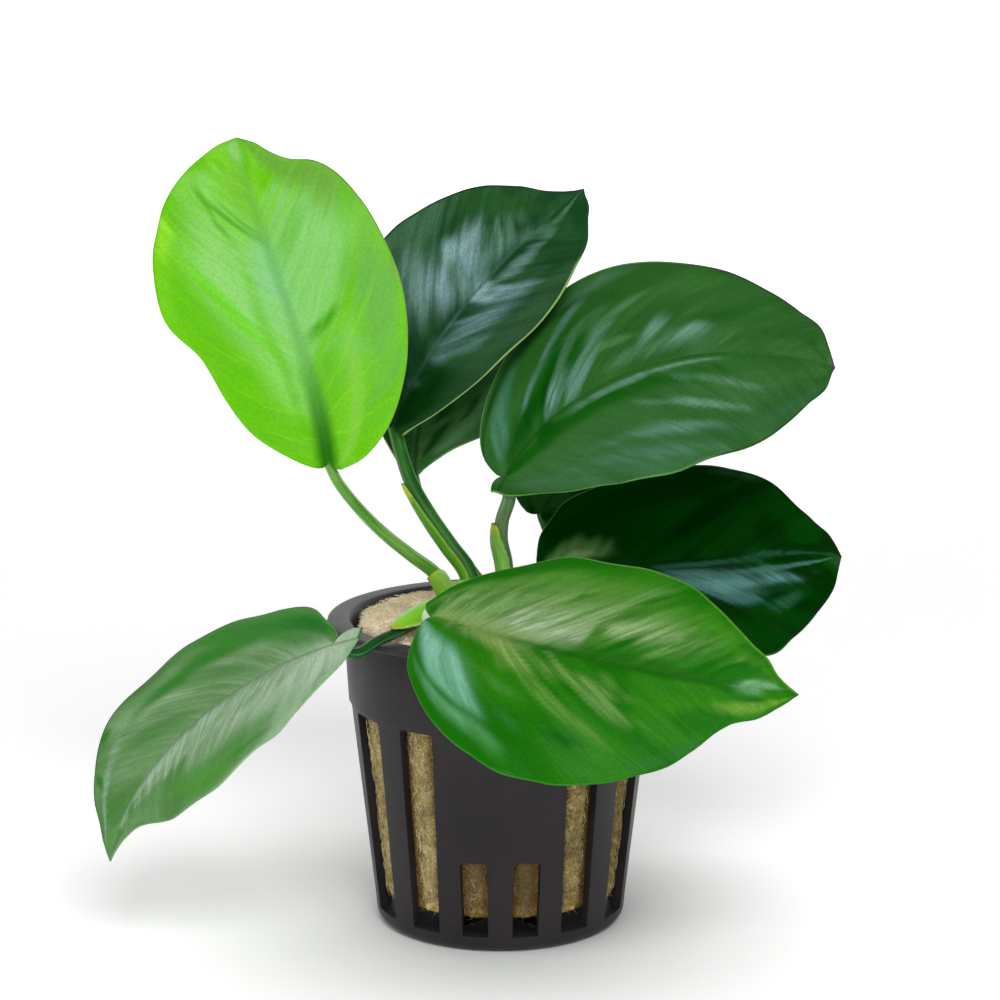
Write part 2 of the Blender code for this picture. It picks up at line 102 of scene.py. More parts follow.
LEAVES = {
    1: Leaf(
        midrib=((-27.0, -10.0, 77.5), (-29.5, -5.0, 95.0), (-38.5, 1.0, 110.0), (-42.0, 8.0, 126.5)),
        faces=((0.0, -1.0, 0.35), (0.0, -1.0, 0.35)),
        left_fold=(0, 0), right_fold=(0, 0),
        left_lobe=(1.0, 1.5), left=(4.0, 9.5, 13.5, 15.5, 18.5, 18.0, 14.0, 7.5),
        right_lobe=(1.3, 2.0), right=(6.0, 12.0, 16.0, 18.0, 18.0, 16.5, 12.5, 3.5),
        curl=1.0, wave=(0.5, 3.0),
    ),
    2: Leaf(
        midrib=((-17.0, 4.0, 81.0), (-10.5, 5.0, 96.5), (0.5, 12.5, 107.5), (13.5, 13.0, 118.0)),
        faces=((0.2, -1.0, 0.3), (0.2, -1.0, 0.3)),
        left_fold=(0, 0), right_fold=(35, 25),
        left_lobe=(1.5, 3.0), left=(5.0, 10.0, 15.0, 17.0, 16.0, 13.0, 7.0, 1.5),
        right_lobe=(1.0, 2.4), right=(3.0, 6.5, 10.0, 11.5, 12.5, 11.5, 8.5, 4.5),
        curl=-0.8, wave=(0.4, 3.0),
    ),
    3: Leaf(
        midrib=((-14.0, 11.0, 72.0), (-14.0, 15.0, 82.0), (-9.0, 26.0, 95.0), (-3.0, 36.0, 103.0)),
        faces=((0.3, -1.0, 0.6), (0.3, -1.0, 0.8)),
        left_fold=(-12, -30), right_fold=(0, 0),
        left_lobe=(0.6, 1.0), left=(1.8, 5.0, 9.5, 13.0, 14.0, 12.5, 7.5, 3.0),
        right_lobe=(0.5, 0.8), right=(1.2, 5.5, 12.5, 16.0, 15.5, 13.0, 8.0, 3.5),
        curl=0.6, wave=(0.4, 3.0),
    ),
    4: Leaf(
        midrib=((1.0, 0.0, 73.3), (10.5, -2.0, 91.0), (33.5, -4.5, 97.5), (52.5, -6.0, 91.5)),
        faces=((0.0, -1.0, 0.9), (0.0, -1.0, 0.7)),
        left_fold=(0, 0), right_fold=(0, 0),
        left_lobe=(0.8, 2.2), left=(5.0, 10.5, 16.0, 20.0, 19.0, 15.5, 10.0, 5.0),
        right_lobe=(4.4, -0.5), right=(5.0, 11.0, 15.5, 18.0, 19.0, 17.5, 14.0, 7.5),
        curl=-1.2, wave=(0.4, 3.5),
    ),
    5: Leaf(
        midrib=((8.5, 7.0, 54.0), (24.0, 10.5, 57.0), (41.0, 13.5, 58.0), (57.0, 16.0, 56.5)),
        faces=((0.0, -0.5, 0.85), (0.0, -1.0, 0.6)),
        left_fold=(30, 0), right_fold=(30, 5),
        left_lobe=(1.3, 4.6), left=(6.5, 13.0, 15.5, 16.5, 17.0, 14.5, 9.0, 4.5),
        right_lobe=(1.5, 3.5), right=(6.0, 11.0, 15.5, 18.5, 20.5, 19.0, 13.0, 6.0),
        curl=-0.6, wave=(0.4, 3.0),
    ),
    6: Leaf(
        midrib=((-10.5, -25.0, 56.0), (6.0, -34.5, 53.0), (25.5, -36.5, 49.0), (44.0, -41.0, 48.0)),
        faces=((0.0, -0.6, 1.0), (0.0, -1.0, 0.5)),
        left_fold=(0, 0), right_fold=(0, 0),
        left_lobe=(2.3, 2.5), left=(8.5, 13.5, 17.0, 17.5, 16.5, 14.0, 7.5, 2.0),
        right_lobe=(0.6, 4.5), right=(8.0, 15.0, 21.0, 22.0, 19.5, 14.0, 5.5, 2.5),
        curl=-0.8, wave=(0.5, 3.5),
    ),
    7: Leaf(
        midrib=((-25.5, -27.0, 52.0), (-41.0, -25.5, 47.0), (-57.5, -23.5, 32.5), (-61.0, -22.0, 16.0)),
        faces=((-0.7, -0.6, 1.0), (-0.3, -0.8, 0.7)),
        left_fold=(0, 0), right_fold=(0, 0),
        left_lobe=(4.4, -2.2), left=(5.5, 9.5, 12.5, 13.5, 12.0, 9.0, 3.0, 0.8),
        right_lobe=(0.2, 2.6), right=(4.5, 11.0, 13.5, 15.0, 14.5, 13.5, 8.5, 2.5),
        curl=-0.6, wave=(0.5, 3.0),
    ),
    8: Leaf(
        midrib=((7.0, 29.0, 61.5), (12.0, 31.0, 70.0), (25.0, 34.0, 80.0), (36.0, 38.0, 82.0)),
        faces=((0.0, -1.0, 0.8), (0.0, -1.0, 0.8)),
        left_fold=(0, 0), right_fold=(0, 0),
        left_lobe=(1.0, 2.5), left=(5.0, 9.0, 12.0, 13.5, 13.5, 11.0, 7.0, 3.0),
        right_lobe=(1.0, 2.0), right=(4.0, 8.0, 11.5, 13.0, 13.0, 11.0, 7.0, 3.0),
        curl=-0.6, wave=(0.3, 3.0),
    ),
}

# Where the margin leaves the smooth outline: the place along a half's outline,
# from 0 at the lobe to 1 at the tip, the reach either side of it and the height
Bulge = namedtuple("Bulge", "place reach height")

# The bulges and dents of each leaf's left half and of its right half
MARGINS = {
    1: (((0.18, 0.16, 0.6), (0.5, 0.12, 0.6), (0.72, 0.06, -0.2), (0.96, 0.06, 0.4)),
        ((0.0, 0.1, 0.4), (0.2, 0.1, -0.25), (0.87, 0.06, -0.65), (0.96, 0.05, 0.55))),
    2: (((0.52, 0.06, 0.2), (0.74, 0.1, 0.3), (0.89, 0.06, -0.3)),
        ((0.83, 0.08, 0.5), (0.95, 0.04, 0.3))),
    4: (((0.0, 0.1, -0.4), (0.48, 0.1, 0.4), (0.68, 0.1, 0.5), (0.9, 0.05, 0.5)),
        ((0.0, 0.04, -0.8), (0.1, 0.14, 0.45), (0.28, 0.08, -0.2), (0.58, 0.16, -0.55),
         (0.95, 0.05, 0.8))),
    5: (((0.06, 0.08, 0.8), (0.73, 0.12, 1.1), (0.89, 0.05, -0.3)),
        ((0.58, 0.12, 1.5), (0.9, 0.1, 0.5))),
    6: (((0.48, 0.34, 0.75), (0.66, 0.06, 0.25), (0.9, 0.05, 0.45)),
        ((0.02, 0.1, -1.25), (0.22, 0.12, 0.5), (0.39, 0.07, 0.7), (0.53, 0.07, -0.35),
         (0.69, 0.07, 0.3), (0.82, 0.06, -0.25), (0.9, 0.05, 0.6))),
    7: (((0.05, 0.14, 0.8), (0.34, 0.07, 0.6), (0.51, 0.1, -0.4), (0.74, 0.16, 0.7)),
        ((0.12, 0.07, 0.7), (0.32, 0.1, 1.0), (0.6, 0.2, 0.9), (0.9, 0.05, -0.2))),
}
SMOOTH_MARGINS = ((), ())

# Side veins leave the midrib at an angle and bow towards the tip. Their lines
# are a + slope b + bow b^2 for shares a along and b across the leaf.
FIRST_VEIN_SLOPE = -0.1
LATER_VEIN_SLOPE = 1.1
SLOPE_REACHED_AT = 0.22
VEIN_CURVE = 1.2

# Stalks: path and the radius at the foot and at the top
Stalk = namedtuple("Stalk", "path radii")

STALKS = {
    1: Stalk(((-8.6, -3.4, 54.5), (-10.3, -4.4, 58.0), (-14.1, -5.5, 61.3), (-18.3, -7.0, 65.1),
              (-22.1, -8.0, 69.2), (-25.5, -9.0, 73.9)), (1.1, 0.8)),
    2: Stalk(((-4.0, -0.6, 53.5), (-5.2, 0.5, 57.7), (-8.1, 1.5, 61.6), (-11.4, 2.5, 66.3),
              (-14.4, 3.5, 71.5), (-15.9, 4.0, 75.9)), (1.3, 1.1)),
    3: Stalk(((-2.2, 1.2, 53.8), (-5.2, 5.0, 57.2), (-8.4, 6.2, 60.4), (-11.4, 7.6, 64.6),
              (-13.4, 9.2, 68.6)), (1.0, 0.8)),
    4: Stalk(((1.2, 2.0, 53.8), (0.8, 3.2, 58.5), (0.1, 3.0, 62.1), (0.3, 2.0, 65.6),
              (1.4, 1.0, 69.4)), (1.2, 1.1)),
    5: Stalk(((4.2, 2.8, 53.4), (6.4, 5.0, 52.4)), (1.1, 0.9)),
    6: Stalk(((-4.4, -1.8, 53.6), (-6.6, -8.5, 55.6), (-9.2, -15.5, 56.2),
              (-10.5, -21.0, 55.6)), (1.1, 0.9)),
    7: Stalk(((-8.4, -3.0, 53.6), (-11.8, -8.5, 52.4), (-14.0, -13.5, 51.9), (-16.3, -18.0, 51.7),
              (-19.0, -21.8, 51.3), (-22.0, -25.2, 50.3)), (0.95, 0.8)),
    8: Stalk(((1.6, 3.6, 53.8), (3.4, 8.6, 54.2), (7.2, 16.0, 54.6), (8.8, 24.0, 55.6),
              (8.2, 29.0, 58.0)), (1.0, 0.9)),
}
STALK_POINTS = 60
STALK_SIDES = 20

# Each stalk ends a little short of its blade's foot and below it, and runs on as
# a ridge under the midrib for a share of its length. Its foot flares, and the
# stalk of leaf 6 is thicker near its end.
STALK_GAP = 0.3
STALK_DEPTH = 0.25
RIDGE_SHARE = 0.45
RIDGE_POINTS = 20
STALK_FLARE = 0.35
KNEE_LEAF = 6
KNEE_HEIGHT = 0.55

# The stalks' light green, dark green and pale flecks, and where the stalk of leaf
# 6 turns whitish; the stalks that aren't named are the dark ones
STEMS = {
    "stalk_dark": ((44, 108, 22), (16, 80, 12), (96, 150, 84)),
    "stalk_light": ((108, 158, 66), (66, 128, 34), (160, 200, 130)),
    "stalk_grey": ((98, 130, 90), (66, 102, 62), (130, 160, 120)),
    "stalk_pale_end": ((60, 130, 50), (30, 96, 30), (120, 170, 110), 14.0),
    "stalk_glossy": ((24, 92, 34), (8, 64, 22), (80, 140, 90)),
}
STALK_STEMS = {1: "stalk_light", 4: "stalk_grey", 6: "stalk_pale_end", 7: "stalk_glossy"}

# Sheaths: the stretch of the stalk they cover, the side they lie on, how far
# round the stalk they reach and how far they stand off it halfway up
Sheath = namedtuple("Sheath", "start end side reach stand")

SHEATHS = {
    1: Sheath(0.02, 0.17, (-0.4, -0.9, 0.1), 110.0, 0.0),
    2: Sheath(0.05, 0.70, (-1.0, -0.4, -0.35), 66.0, 0.1),
    4: Sheath(0.05, 0.60, (-0.9, -0.6, 0.0), 80.0, 0.2),
    7: Sheath(0.10, 0.62, (0.1, -0.3, 1.0), 75.0, 0.9),
    8: Sheath(0.10, 0.86, (-1.0, 0.0, 0.5), 80.0, 0.0),
}
# Their two greens, the colour of the pale rim, the side it is on and how brown
# the tip is
SHEATH_COLOURS = {
    1: ((120, 170, 50), (150, 200, 84), (190, 220, 140), 1.0, 0.3),
    2: ((46, 112, 0), (92, 164, 6), (112, 176, 30), 1.0, 0.7),
    4: ((96, 158, 56), (140, 196, 92), (170, 210, 130), -1.0, 0.9),
    7: ((112, 194, 14), (140, 216, 40), (206, 240, 140), -1.0, 0.1),
    8: ((90, 150, 60), (130, 180, 90), (150, 190, 110), 1.0, 0.5),
}
SHEATH_CLEARANCE = 0.15
SHEATH_THICKNESS = 0.35
SHEATH_ROWS = 60
SHEATH_COLUMNS = 14

# Rhizome: path, radii along it, fineness and the number of its ring scars
RHIZOME_PATH = ((-9.5, -3.6, 54.9), (-6.0, -2.0, 53.9), (-1.0, 0.8, 53.8), (4.5, 4.2, 53.6))
RHIZOME_RADII = (1.9, 2.9, 2.9, 2.2)
RHIZOME_POINTS = 90
RHIZOME_SIDES = 40
RHIZOME_RINGS = 9

# Pot: heights are from the ground, and radii are outer ones where no name says
# otherwise
POT_HEIGHT = 50.3
RIM_RADIUS = 28.0
RIM_DEPTH = 1.2
RIM_INNER_RADIUS = 25.2
WALL = 1.5
BAND_RADIUS = 25.3
BAND_FOOT_Z = 36.9
BODY_TOP_RADIUS = 24.2
BODY_FOOT_RADIUS = 20.4
SLOT_FOOT_Z = 2.8
SLOT_TOP_Z = 36.3
SHORT_SLOT_TOP_Z = 15.4
FOOT_FILLET = 2.6
FILLET_TOP_Z = 2.2
POT_STEPS = 180
SHARP_FROM = 38.0

# Slots of one quarter as centre angle from the front, width at the top, width
# at the foot, lean of the foot away from the front and height of the top; the
# other three quarters mirror them
SLOTS = (
    (11.2, 4.4, 4.1, 0.0, SHORT_SLOT_TOP_Z),
    (34.2, 6.2, 5.1, 0.4, SLOT_TOP_Z),
    (62.6, 7.5, 6.4, 0.5, SLOT_TOP_Z),
    (90.0, 7.0, 5.8, 0.0, SLOT_TOP_Z),
)
SLOT_CORNER = 0.7
SLOT_RADIUS = 22.0
FLOOR_SLOT_COUNT = 6
FLOOR_SLOT_WIDTH = 3.0
FLOOR_SLOT_SPAN = (7.0, 13.0)
WALL_SLOT_SPAN = (15.0, 31.0)

# Rockwool: its ends, where it is widest, the rounding of its shoulder, its gap to
# the wall and how far it bulges into the slots. Behind the short slots, which end
# this far from the middle, its painted shade is deeper by a share.
WOOL_TOP_Z = 50.2
WOOL_FOOT_Z = 5.3
WOOL_TOP_RADIUS = 22.9
WOOL_WIDEST_Z = 48.6
WOOL_SHOULDER = 1.8
WOOL_CLEARANCE = 0.35
WOOL_STEPS = 260
WOOL_BULGE = 0.5
SHORT_SLOTS_END = (10.0, 8.6)
SHORT_SLOT_SHADE = 0.55

# Loose fibres: how many, the seeds of their draws and the shape of one
SIDE_FIBRES = 6600
SIDE_FIBRE_SEED = 7
TOP_FIBRES = 6000
TOP_FIBRE_SEED = 11
FIBRE_SIDES = 3
FIBRE_POINTS = 6

# Camera: its place in metres, its tilt, its lens and its sensor's width; the photo's
# side in pixels
CAMERA_PLACE = (-0.00006, -0.4375, 0.1543)
CAMERA_TILT = 79.0
CAMERA_LENS = 100.0
SENSOR_WIDTH = 36.0
PHOTO_SIDE = 1000

# Studio, in metres: the floor's front, its bend, its half width and the height of
# its back, and each light's place, size and power
WHITE = (1.0, 1.0, 1.0, 1.0)
PAPER = (0.93, 0.93, 0.93, 1.0)
FLOOR_FRONT = -3.0
FLOOR_BEND = 2.0
FLOOR_SIDE = 5.0
BACK_HEIGHT = 4.0
WORLD_STRENGTH = 0.28
LIT_PLACE = (0.0, 0.0, 0.06)
LIGHTS = {
    "key_softbox": ((0.12, -0.85, 0.85), (0.55, 0.4), 7.6),
    "front_fill": ((-0.35, -1.3, 0.28), (0.8, 0.5), 3.6),
}


def srgb(red, green, blue):
    """Linear colour from 8-bit values."""
    return tuple((value / 255.0) ** 2.2 for value in (red, green, blue))


def unit(vectors):
    return vectors / np.linalg.norm(vectors, axis=-1, keepdims=True)


def smooth_step(low, high, value):
    share = np.clip((value - low) / (high - low), 0.0, 1.0)
    return share * share * (3.0 - 2.0 * share)


def lengths_along(points):
    """How far each point is from the first, along the line through them."""
    steps = np.linalg.norm(np.diff(points, axis=0), axis=1)
    return np.concatenate([[0.0], np.cumsum(steps)])


def values_at(places, scale, values):
    """Rows of values between the ones that stand along a scale."""
    return np.stack([np.interp(places, scale, column) for column in values.T], axis=-1)


def resample(dense, count):
    lengths = lengths_along(dense)
    return values_at(np.linspace(0.0, lengths[-1], count), lengths, dense)


def smooth_curve(points, count):
    """Count points, evenly spaced, on a smooth curve through the given ones."""
    knots = np.array(points, dtype=float)
    steps = np.sqrt(np.linalg.norm(np.diff(knots, axis=0), axis=1))
    times = np.concatenate([[0.0], np.cumsum(steps)])
    slopes = np.gradient(knots, times, axis=0)
    fine = np.linspace(0.0, times[-1], CURVE_FINENESS * len(knots))
    index = np.clip(np.searchsorted(times, fine, side="right") - 1, 0, len(knots) - 2)
    span = (times[index + 1] - times[index])[:, None]
    t = ((fine - times[index])[:, None]) / span
    dense = (
        (2 * t**3 - 3 * t**2 + 1) * knots[index]
        + (t**3 - 2 * t**2 + t) * span * slopes[index]
        + (3 * t**2 - 2 * t**3) * knots[index + 1]
        + (t**3 - t**2) * span * slopes[index + 1]
    )
    return resample(dense, count)


class Nodes:
    """Short names for building a material's node tree."""

    def __init__(self, name):
        self.material = bpy.data.materials.new(name)
        self.material.use_nodes = True
        self.tree = self.material.node_tree
        self.shader = self.tree.nodes["Principled BSDF"]

    def link(self, value, socket):
        if isinstance(value, bpy.types.NodeSocket):
            self.tree.links.new(value, socket)
        else:
            socket.default_value = value

    def node(self, kind, **settings):
        made = self.tree.nodes.new(kind)
        for key, value in settings.items():
            setattr(made, key, value)
        return made

    def math(self, operation, *values):
        made = self.node("ShaderNodeMath", operation=operation)
        for value, socket in zip(values, made.inputs):
            self.link(value, socket)
        return made.outputs[0]

    def times(self, first, second):
        return self.math("MULTIPLY", first, second)

    def away(self, value, centre=0.5):
        """How far a value is from a centre, either way."""
        return self.math("ABSOLUTE", self.math("SUBTRACT", value, centre))

    def mix(self, share, first, second):
        made = self.node("ShaderNodeMix", data_type="RGBA")
        self.link(share, made.inputs[0])
        for value, socket in ((first, made.inputs[6]), (second, made.inputs[7])):
            self.link((*value, 1.0) if isinstance(value, tuple) else value, socket)
        return made.outputs[2]

    def step(self, value, low, high, start=0.0, end=1.0):
        """Smoothly from start to end as the value goes from low to high."""
        made = self.node("ShaderNodeMapRange", interpolation_type="SMOOTHSTEP")
        for item, socket in zip((value, low, high, start, end), made.inputs):
            self.link(item, socket)
        return made.outputs[0]

    def vector(self, x, y, z=0.0):
        made = self.node("ShaderNodeCombineXYZ")
        for item, socket in zip((x, y, z), made.inputs):
            self.link(item, socket)
        return made.outputs[0]

    def parts(self, vector):
        made = self.node("ShaderNodeSeparateXYZ")
        self.link(vector, made.inputs[0])
        return made.outputs[:3]

    def uv(self, name):
        return self.parts(self.node("ShaderNodeUVMap", uv_map=name).outputs[0])[:2]

    def attribute(self, name, output="Fac"):
        return self.node("ShaderNodeAttribute", attribute_name=name).outputs[output]

    def place(self):
        return self.node("ShaderNodeTexCoord").outputs["Object"]

    def noise(self, vector, scale, detail=3.0, roughness=0.55, distortion=0.0):
        made = self.node("ShaderNodeTexNoise")
        self.link(vector, made.inputs["Vector"])
        values = {"Scale": scale, "Detail": detail, "Roughness": roughness, "Distortion": distortion}
        for key, value in values.items():
            made.inputs[key].default_value = value
        return made.outputs["Fac"]

    def bands(self, first, second, scales, third=0.0, **settings):
        """Noise with a scale of its own along each of two values."""
        place = self.vector(self.times(first, scales[0]), self.times(second, scales[1]), third)
        return self.noise(place, 1.0, **settings)

    def bump(self, height, distance, strength=1.0, before=None):
        made = self.node("ShaderNodeBump")
        made.inputs["Strength"].default_value = strength
        made.inputs["Distance"].default_value = distance
        self.link(height, made.inputs["Height"])
        if before is not None:
            self.link(before, made.inputs["Normal"])
        return made.outputs[0]

    def finish(self, colour, roughness, normal=None, **constants):
        self.link(colour, self.shader.inputs["Base Color"])
        self.link(roughness, self.shader.inputs["Roughness"])
        if normal is not None:
            self.link(normal, self.shader.inputs["Normal"])
        for key, value in constants.items():
            self.shader.inputs[key.replace("_", " ")].default_value = value
        return self.material


# A stroke of another tone on a leaf, of its own colour or of painted light: its two
# ends and its width in pixels of an enlarged crop of the photo, its colour there, its
# strength, how much the side veins break it up and, where it isn't the leaf's, how
# bright the light is there
Stroke = namedtuple(
    "Stroke", "start_x start_y end_x end_y width colour strength streaks light", defaults=(None,))

# The same as a patch of the leaf: its centre as shares along the side veins'
# roots and across, how far it leans along the midrib on its way out and its
# reach in both
Patch = namedtuple("Patch", "root across lean root_reach across_reach colour strength streaks")

# Shares of a patch's reach within which it is solid, across it and along it, the
# least reaches, and how far outward a stroke must lead, for its way along, to lean
SOLID_WIDTH = 0.72
SOLID_LENGTH = 0.8
LEAST_ROOT_REACH = 0.006
LEAST_ACROSS_REACH = 0.02
LEAST_LEANING = 0.45

# The midrib's colours at the foot and farther out, its half widths there, and
# its strength at the foot, in the middle and at the tip
Rib = namedtuple("Rib", "foot_colour colour foot_width width foot_strength strength tip_strength")

# The margin's colours near the stalk and farther out, its width, and how far
# out as a share of the leaf the first gives way to the second
Edge = namedtuple("Edge", "foot_colour colour width turn")

# A leaf's look. Its colours are as the photo shows them, and light is how much
# brighter or darker the studio shows the leaf. Two pale patches of the lobe, painted
# sheen with colours of their own, lie under the first stroke and over the last.
Look = namedtuple("Look", (
    "light base deep roughness vein_tone vein_strength banding wrinkling"
    " rib left_edge right_edge lobe_patches"), defaults=((),))

LOOKS = {
    1: Look(
        light=1.2, base=(122, 206, 46), deep=(104, 194, 20), roughness=0.4,
        vein_tone=(140, 226, 40), vein_strength=0.3, banding=0.2, wrinkling=0.1,
        # Leaf 1's wide dark midrib foot is partly its own green and partly painted shade in the furrow
        rib=Rib((8, 96, 0), (96, 168, 84), 2.0, 1.0, 0.9, 0.5, 0.35),
        left_edge=Edge((120, 200, 40), (130, 214, 60), 0.15, 0.2),
        right_edge=Edge((140, 180, 80), (110, 160, 60), 0.22, 0.2),
    ),
    2: Look(
        light=1.12, base=(36, 80, 42), deep=(24, 66, 32), roughness=0.34,
        vein_tone=(24, 60, 30), vein_strength=0.16, banding=0.3, wrinkling=0.4,
        rib=Rib((14, 54, 20), (60, 96, 84), 0.7, 0.5, 0.5, 0.6, 0.25),
        left_edge=Edge((40, 70, 44), (34, 58, 42), 0.25, 0.2),
        right_edge=Edge((150, 186, 112), (36, 70, 44), 0.32, 0.55),
    ),
    3: Look(
        light=0.6, base=(54, 84, 50), deep=(40, 72, 38), roughness=0.36,
        vein_tone=(20, 56, 18), vein_strength=0.1, banding=0.4, wrinkling=0.1,
        rib=Rib((20, 56, 18), (20, 56, 18), 0.4, 0.3, 0.8, 0.7, 0.2),
        left_edge=Edge((120, 160, 100), (70, 110, 60), 0.25, 0.2),
        right_edge=Edge((90, 130, 80), (60, 100, 50), 0.2, 0.2),
    ),
    4: Look(
        light=1.1, base=(52, 102, 46), deep=(43, 91, 37), roughness=0.34,
        vein_tone=(34, 84, 28), vein_strength=0.12, banding=0.3, wrinkling=0.06,
        rib=Rib((14, 70, 10), (26, 80, 22), 0.4, 0.22, 0.6, 0.55, 0.15),
        left_edge=Edge((130, 180, 110), (52, 62, 48), 0.25, 0.2),
        right_edge=Edge((104, 164, 84), (44, 74, 40), 0.28, 0.2),
    ),
    5: Look(
        light=0.9, base=(0, 60, 0), deep=(0, 46, 0), roughness=0.32,
        vein_tone=(0, 36, 0), vein_strength=0.1, banding=0.2, wrinkling=0.06,
        rib=Rib((0, 52, 4), (0, 56, 6), 0.4, 0.25, 0.4, 0.4, 0.1),
        left_edge=Edge((90, 140, 80), (30, 44, 30), 0.25, 0.2),
        right_edge=Edge((60, 100, 50), (36, 44, 34), 0.22, 0.2),
    ),
    6: Look(
        light=1.05, base=(46, 120, 20), deep=(28, 106, 8), roughness=0.36,
        vein_tone=(12, 92, 0), vein_strength=0.12, banding=0.3, wrinkling=0.06,
        rib=Rib((100, 134, 64), (30, 92, 14), 0.9, 0.7, 0.2, 0.7, 0.45),
        left_edge=Edge((110, 164, 74), (92, 150, 50), 0.3, 0.2),
        right_edge=Edge((60, 130, 44), (48, 110, 34), 0.22, 0.2),
    ),
    7: Look(
        light=0.98, base=(96, 138, 86), deep=(80, 126, 68), roughness=0.38,
        vein_tone=(64, 110, 56), vein_strength=0.14, banding=0.35, wrinkling=0.06,
        rib=Rib((110, 126, 98), (108, 124, 100), 0.34, 0.28, 0.7, 0.75, 0.2),
        left_edge=Edge((130, 170, 120), (110, 150, 100), 0.25, 0.2),
        right_edge=Edge((48, 90, 50), (66, 84, 66), 0.22, 0.2),
        lobe_patches=((0.1, -0.45, 0.0, 0.3, 0.8, (166, 188, 162), 0.9, 0.3),
                      (0.0, -0.5, 0.0, 0.13, 0.75, (172, 194, 168), 0.9, 0.1)),
    ),
    8: Look(
        light=0.7, base=(30, 70, 26), deep=(4, 46, 4), roughness=0.36,
        vein_tone=(4, 46, 4), vein_strength=0.1, banding=0.4, wrinkling=0.08,
        rib=Rib((10, 50, 8), (10, 50, 8), 0.4, 0.3, 0.5, 0.4, 0.2),
        left_edge=Edge((60, 110, 50), (40, 80, 40), 0.25, 0.2),
        right_edge=Edge((60, 110, 50), (40, 80, 40), 0.25, 0.2),
    ),
}

# The crop of each leaf that its strokes were laid over: its left and top pixel in
# the photo and its enlargement
Crop = namedtuple("Crop", "left top enlargement")

CROPS = {
    1: Crop(140, 120, 5), 2: Crop(370, 170, 6), 3: Crop(380, 370, 4.535), 4: Crop(470, 250, 5),
    5: Crop(530, 450, 5), 6: Crop(400, 550, 4.878), 7: Crop(80, 600, 5),
}
